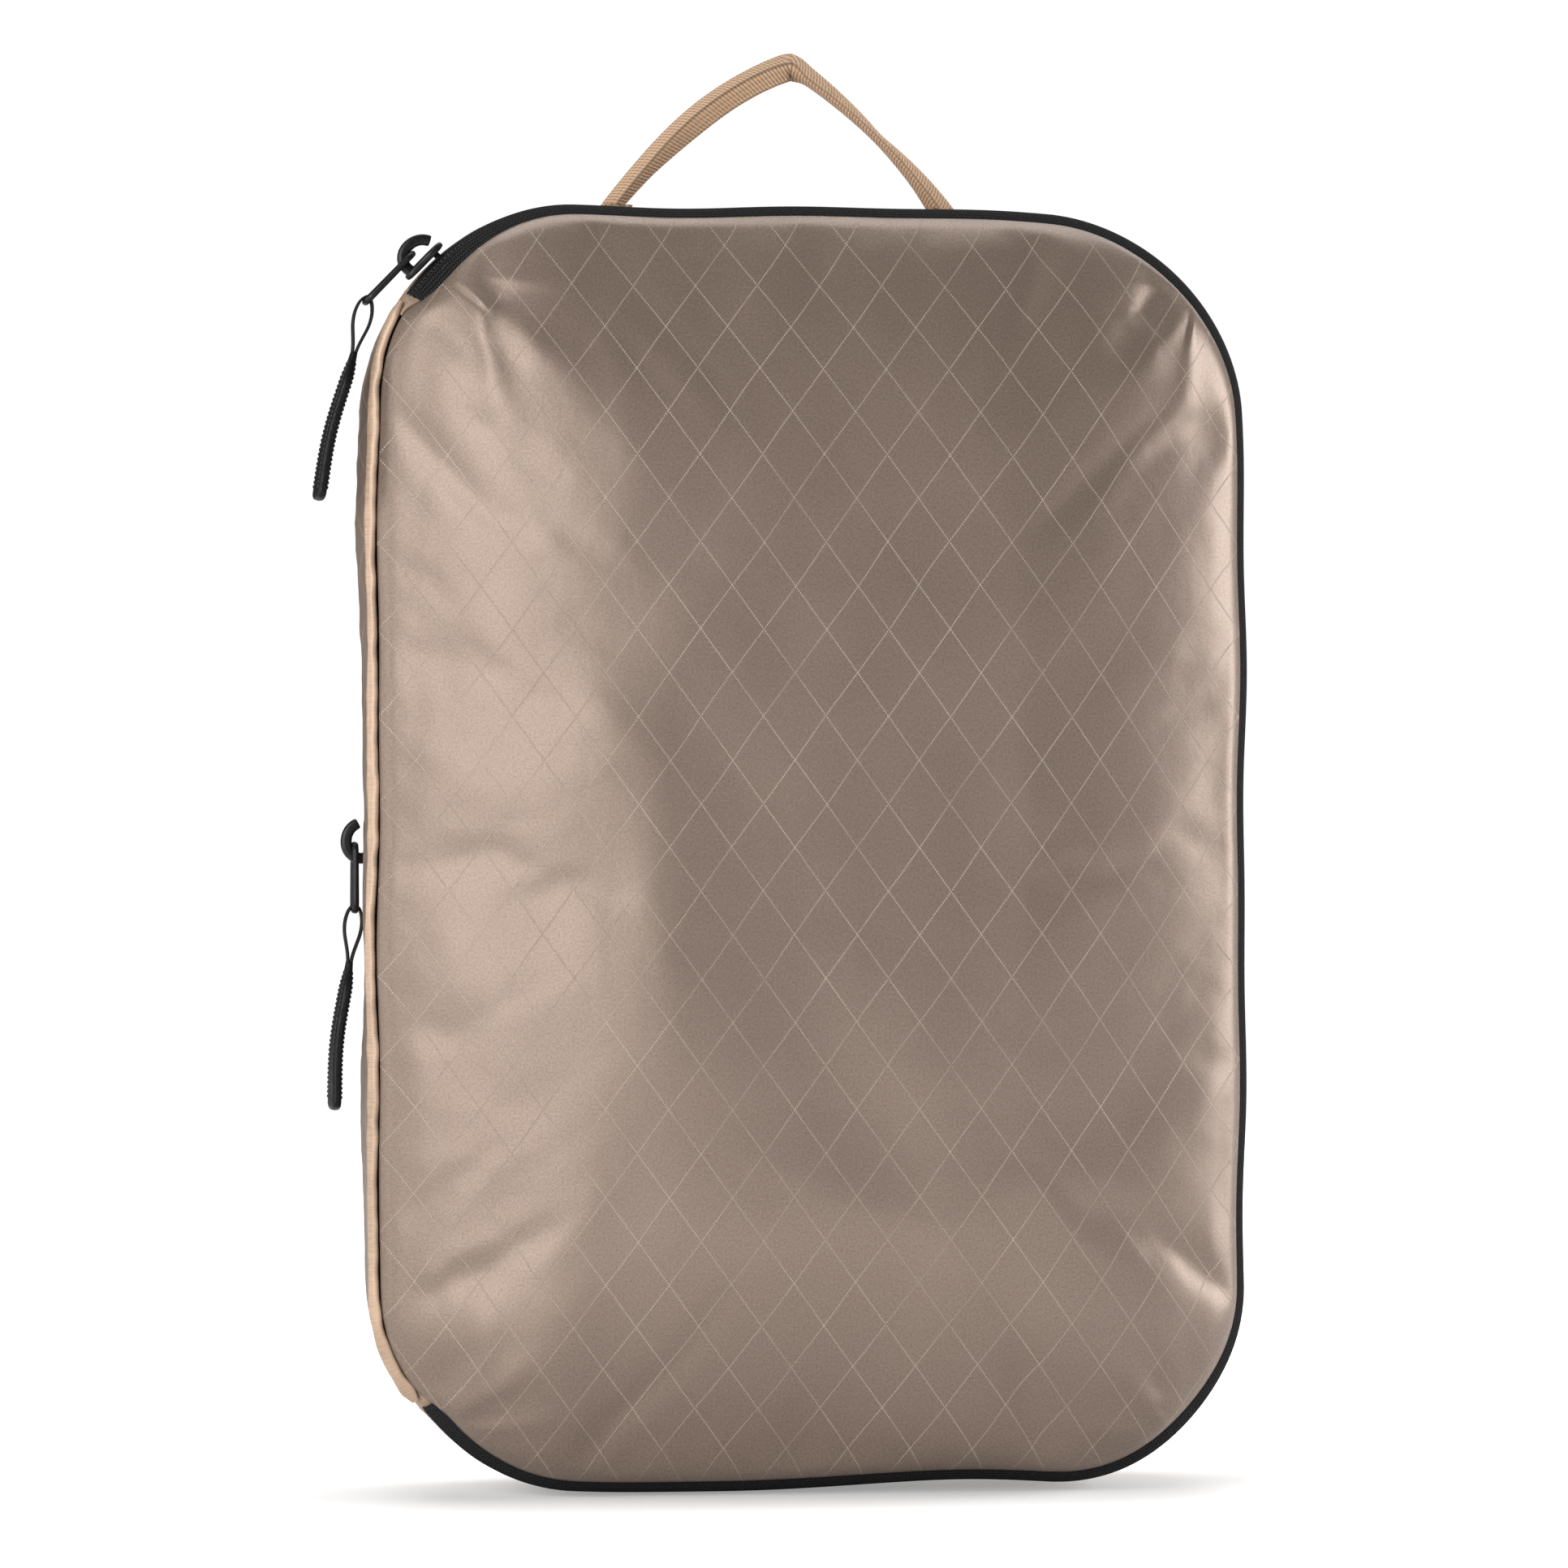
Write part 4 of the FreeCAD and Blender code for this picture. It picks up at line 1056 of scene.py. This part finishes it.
def tab(name, lean_degrees, length=57 * MM, twist_degrees=5):
    """A pull tab: a thin strap looped round the pull's bar, and two layers sewn together below it."""
    lean = math.radians(lean_degrees)
    down = np.array((-math.sin(lean), 0.0, -math.cos(lean)))
    side = np.array((-math.cos(lean), 0.0, math.sin(lean)))
    start = np.array(pivots[f"{name}_swing"])
    pieces = []
    for letter, sign in (("a", 1), ("b", -1)):
        line = smooth_line(np.array([(sign * a, b) for a, b in TAB_LOOP]) * MM, 26)
        centre = start + line[:, :1] * side + line[:, 1:] * down
        across = np.tile((0.0, 1.0, 0.0), (26, 1))
        pieces.append(strap(f"{name}_loop_{letter}", centre, across, np.cross(across, headings(centre)),
                            4.6 * MM, 0.75 * MM, "pull_tab", 5))
    rows = 34
    t = np.linspace(0, 1, rows)
    run = TAB_NECK + (length - TAB_NECK) * t
    sway = 1.3 * MM * np.sin(t * math.pi * 0.9) ** 2
    centre = start + run[:, None] * down + sway[:, None] * side
    turn = np.radians(twist_degrees) * (0.3 + 0.7 * t)
    across = np.cos(turn)[:, None] * np.array((0, 1.0, 0)) + np.sin(turn)[:, None] * side
    ahead = headings(centre)
    face = np.cross(across, ahead)

    def rounded_end(begins, least):
        return np.sqrt(np.clip(1 - np.clip((t - begins) / (1 - begins), 0, 1) ** 2, least, 1))

    half = (2.5 + 3.0 * smooth(t, 0.02, 0.22)) * MM * rounded_end(0.965, 0.10)
    thick = (0.9 + 0.5 * smooth(t, 0.0, 0.2) * rounded_end(0.96, 0.2)) * MM
    angle = full_turn(28)
    wide, deep = squared(np.cos(angle), 0.35), squared(np.sin(angle), 0.55)
    points = (centre[:, None] + (half[:, None] * wide)[..., None] * across[:, None]
              + (thick[:, None] * deep)[..., None] * face[:, None])
    leather = mesh_object(f"{name}_leather", points, tube_faces(rows, 28), uv_grid(run, angle * 2 * MM),
                          MATERIALS["pull_tab"])
    refine(leather)
    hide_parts(name)
    for piece in pieces + [leather]:
        attach(piece, name, "pull_tab")
    stitches = []
    for edge in (1, -1):
        for layer in (1, -1):
            for k in range(3, rows - 3):
                sideways = edge * (half[k] - 1.1 * MM) * across[k]
                stitches.append((centre[k] + sideways + layer * (thick[k] - 0.02 * MM) * face[k], ahead[k]))
    sew(f"{name}_stitching", stitches, 0.85 * MM, 0.17 * MM, name, "black_thread", f"{name}_stitches")


def sew(name, stitches, length, radius, body, slot, *replaced):
    """Small slanting stitches, each a short rounded bar of thread sunk halfway into the surface."""
    points, faces = [], []
    for at, way in stitches:
        way = np.asarray(way) / np.linalg.norm(way)
        a = np.cross(way, (0.3, 0.9, 0.4))
        a /= np.linalg.norm(a)
        b = np.cross(way, a)
        first = len(points)
        for share, size in ((-0.5, 0.35), (-0.35, 0.9), (0.35, 0.9), (0.5, 0.35)):
            for angle in full_turn(6):
                points.append(np.asarray(at) + share * length * way
                              + radius * size * (math.cos(angle) * a + math.sin(angle) * b))
        faces += [tuple(first + i for i in face) for face in tube_faces(4, 6)]
    obj = mesh_object(name, points, faces, np.zeros((len(points), 2)), MATERIALS[slot])
    attach(obj, body, slot, *replaced)


# ---- sliders and pulls
pivots = {joint["name"]: joint["pos_m"] for joint in frame["joints"] if joint.get("pos_m")}
PIVOT_ALONG = -1.0 * MM
PIVOT_HEIGHT = 4.9 * MM


def local_frame(pivot, lean_degrees):
    """The slider's own frame, from the tape's face under its middle: X along the zip and Z outwards."""
    lean = math.radians(lean_degrees)
    x = np.array((math.cos(lean), 0, -math.sin(lean)))
    z = np.array((math.sin(lean), 0, math.cos(lean)))
    origin = np.array(pivot) - PIVOT_ALONG * x - PIVOT_HEIGHT * z
    return origin, x, np.array((0, 1.0, 0)), z


def placed(points, where):
    origin, x, y, z = where
    points = np.asarray(points, float)
    return origin + points[..., :1] * x + points[..., 1:2] * y + points[..., 2:] * z


def shaped_plate(length, nose, tail, low, high, where):
    """A rounded plate, wider at its nose than at its tail, with soft edges."""
    turn = full_turn(40)
    cx, cy = squared(np.cos(turn), 0.62), squared(np.sin(turn), 0.72)
    half = (tail + (nose - tail) * smooth(cx, -0.6, 0.5)) / 2
    waist = 1 - 0.10 * np.exp(-((cx + 0.1) / 0.35) ** 2)
    edge = (high - low) * 0.32
    levels = (0.0, low), (0.72, low), (1.0, low + edge), (1.0, high - edge), (0.78, high), (0.0, high)
    rings = []
    for share, z in levels:
        scale = 1 - (1 - share) * (0.16 if share else 1)
        rings.append(np.stack([cx * length / 2 * scale, cy * half * waist * scale, np.full(40, z)], 1))
    return placed(np.array(rings), where).reshape(-1, 3), grid_faces(6, 40, close_columns=True)


def swept_bar(line, wide, thick, where, taper=1.0):
    """A flat bar of rounded section bent along a line in the slider's own X and Z."""
    line = np.asarray(line, float)
    ahead = headings(line)
    out = np.stack([-ahead[:, 1], ahead[:, 0]], 1)
    turn = full_turn(16)
    cy = squared(np.cos(turn), 0.5) * wide / 2
    cn = squared(np.sin(turn), 0.6) * thick / 2
    size = np.linspace(1, taper, len(line))[:, None]
    section = [line[:, :1] + out[:, :1] * cn * size, cy * size, line[:, 1:] + out[:, 1:] * cn * size]
    return placed(np.stack(section, -1), where).reshape(-1, 3), tube_faces(len(line), 16)


def hardware(name, parts, replaced):
    """Joins meshes into one smooth piece of painted metal, which rides on the body of its node's name."""
    points, faces = [], []
    for part_points, part_faces in parts:
        first = len(points)
        points += list(part_points)
        faces += [tuple(i + first for i in face) for face in part_faces]
    obj = mesh_object(name, points, faces, np.array(points)[:, [0, 2]], MATERIALS["hardware"])
    attach(refine(obj), replaced, "hardware", replaced)


def arc(centre, radius, start, end, count):
    angle = np.radians(np.linspace(start, end, count))
    return np.stack([centre[0] + radius * np.cos(angle), centre[1] + radius * np.sin(angle)], 1)


# the crown's line along and above the slider, in millimetres
HOOK_LINE = [(-4.4, 1.2), (-4.9, 2.8), (-4.7, 4.6), (-3.6, 6.2), (-1.9, 7.2), (0.2, 7.4), (2.2, 7.0),
             (3.9, 5.9), (5.0, 4.4), (5.2, 3.8)]


def slider_piece(prefix, where, reach):
    """A cast slider: two plates joined by a post, and an open hook on top for the pull."""
    hook = smooth_line(np.array(HOOK_LINE) * MM, 26)
    post = np.array([(3.6, -reach / MM - 0.3), (3.6, 0.4), (3.6, 1.2)]) * MM
    hardware(f"{prefix}_slider_cast", [
        shaped_plate(14 * MM, 7.6 * MM, 5.8 * MM, 0.15 * MM, 2.35 * MM, where),
        shaped_plate(13 * MM, 7.2 * MM, 5.6 * MM, -reach - 0.8 * MM, -reach, where),
        swept_bar(post, 0.8 * MM, 1.9 * MM, where),
        swept_bar(hook, 3.8 * MM, 3.3 * MM, where, 0.95)], f"{prefix}_slider")


def pull_piece(prefix, where, length):
    """A long wire ring, slightly flattened, thicker at its far end."""
    half, corner = 4.0 * MM, 2.4 * MM
    x0, x1 = PIVOT_ALONG - length, PIVOT_ALONG
    corners = [(x1 - corner, half - corner, 90, 0), (x1 - corner, -half + corner, 0, -90),
               (x0 + corner, -half + corner, -90, -180), (x0 + corner, half - corner, 180, 90)]
    line = []
    for cx, cy, start, end in corners:
        line += list(arc((cx, cy), corner, start, end, 7))
        # a twin beside the last point holds the end of the bend when the ring is subdivided
        line.append(line[-1] + np.array((1e-6, 0)))
    line = np.array(line[:-1])
    following = np.roll(line, -1, 0) - np.roll(line, 1, 0)
    following /= np.linalg.norm(following, axis=1)[:, None]
    out = np.stack([following[:, 1], -following[:, 0]], 1)
    turn = full_turn(12)
    wire = (1.0 + 0.12 * smooth(-line[:, 0], 8 * MM, 18 * MM))[:, None] * MM
    a, b = wire * np.cos(turn), wire * 0.92 * np.sin(turn)
    points = np.stack([line[:, :1] + out[:, :1] * a, line[:, 1:] + out[:, 1:] * a, PIVOT_HEIGHT + b], -1)
    faces = grid_faces(len(line), 12, close_rows=True, close_columns=True)
    hardware(f"{prefix}_pull_wire", [(placed(points, where).reshape(-1, 3), faces)], f"{prefix}_pull")


for prefix, lean, reach in (("main", -46, 3.4 * MM), ("compression", -90, 2.6 * MM)):
    where = local_frame(pivots[f"{prefix}_pull_flip"], lean)
    slider_piece(prefix, where, reach)
    pull_piece(prefix, where, 18.4 * MM)
tab("main_tab", 13.4)
tab("compression_tab", 5.7)
end_tab("upper_end_tab_satin", ZIP_START - 6.5 * MM, ZIP_START + 1.5 * MM, "upper_end_tab")
end_tab("lower_end_tab_satin", ZIP_END - 1.5 * MM, ZIP_END + 6.5 * MM, "lower_end_tab")


# ---- stage, light and camera
def area_light(name, at, target, width, height, power, roll=0):
    light = bpy.data.lights.new(name, "AREA")
    light.shape = "RECTANGLE"
    light.size = width
    light.size_y = height
    light.energy = power
    obj = bpy.data.objects.new(name, light)
    obj.location = at
    aimed = (Vector(target) - Vector(at)).to_track_quat("-Z", "Y")
    obj.rotation_euler = (aimed @ Quaternion((0, 0, 1), math.radians(roll))).to_euler()
    bpy.context.scene.collection.objects.link(obj)
    obj.visible_camera = False


def floor_with_painted_shadow():
    """A floor that glows white away from the object, with a painted shadow around and under the object where
    its glow dims, and far less as a light on the object.
    """
    m = Shader("floor_with_painted_shadow")
    m.put(m.surface.inputs["Emission Color"], (1, 1, 1, 1))
    spread = m.add("VectorMath", {0: m.position(), 1: (0.45, 1.3, 0)}, operation="MULTIPLY").outputs["Vector"]
    far = m.add("VectorMath", {0: spread}, operation="LENGTH").outputs["Value"]
    seen_directly = m.add("LightPath").outputs["Is Camera Ray"]
    # painted shadow: the glow dims towards the object, so the floor is darker around and under it
    glow_with_painted_shadow = m.times(m.ramp(far, 0.05, 0.17, 0.30, 1.0), m.scaled(seen_directly, 0.84, 0.16))
    m.put(m.surface.inputs["Emission Strength"], glow_with_painted_shadow)
    return m.finish(color=(0.80, 0.80, 0.80, 1), roughness=0.9, specular=0.1)


floor_half = 40.0
floor_points = np.array([(x * floor_half, y * floor_half, -FLOOR_CLEARANCE)
                         for x, y in ((-1, -1), (1, -1), (1, 1), (-1, 1))])
mesh_object("studio_floor", floor_points, [(0, 1, 2, 3)], floor_points[:, :2], floor_with_painted_shadow())

world = bpy.data.worlds.new("studio")
bpy.context.scene.world = world
world.use_nodes = True
tree = world.node_tree
tree.nodes.clear()
output = tree.nodes.new("ShaderNodeOutputWorld")
path = tree.nodes.new("ShaderNodeLightPath")
choose = tree.nodes.new("ShaderNodeMixShader")
tree.links.new(path.outputs["Is Camera Ray"], choose.inputs[0])
for socket, strength in ((1, 0.05), (2, 1.05)):
    background = tree.nodes.new("ShaderNodeBackground")
    background.inputs[0].default_value = (1, 1, 1, 1)
    background.inputs[1].default_value = strength
    tree.links.new(background.outputs[0], choose.inputs[socket])
tree.links.new(choose.outputs[0], output.inputs[0])

MIDDLE = (0, 0, 0.2)
area_light("left_softbox", (-1.02, -1.20, 0.38), MIDDLE, 1.0, 1.7, 31.5, 14)
area_light("right_softbox", (1.75, 0.00, 0.30), MIDDLE, 0.9, 1.7, 42)
area_light("side_fill", (-1.70, 0.10, 0.40), MIDDLE, 0.8, 1.2, 8)
area_light("low_fill", (0.04, -0.30, 0.02), (0.04, -0.03, 0.01), 0.5, 0.03, 0.10)
area_light("top_softbox", (0.0, 0.45, 1.5), MIDDLE, 1.4, 1.0, 12)
area_light("back_fill", (0.4, 1.8, 1.0), MIDDLE, 1.4, 1.2, 11)

bpy.context.scene.view_settings.view_transform = "Standard"
CAMERA_AZIMUTH = math.radians(-8)
CAMERA_DISTANCE = 2.0
AIM_RIGHTWARDS, AIM_HEIGHT = -0.0052, 0.1982
towards_camera = Vector((math.sin(CAMERA_AZIMUTH), -math.cos(CAMERA_AZIMUTH), 0))
rightwards = Vector((math.cos(CAMERA_AZIMUTH), math.sin(CAMERA_AZIMUTH), 0))
aim = rightwards * AIM_RIGHTWARDS + Vector((0, 0, AIM_HEIGHT))
camera_data = bpy.data.cameras.new("camera")
camera_data.lens = 162.5
camera_data.sensor_width = 36
camera_data.clip_end = 50
camera = bpy.data.objects.new("camera", camera_data)
camera.location = aim + towards_camera * CAMERA_DISTANCE
camera.rotation_euler = (-towards_camera).to_track_quat("-Z", "Y").to_euler()
bpy.context.scene.collection.objects.link(camera)
bpy.context.scene.camera = camera
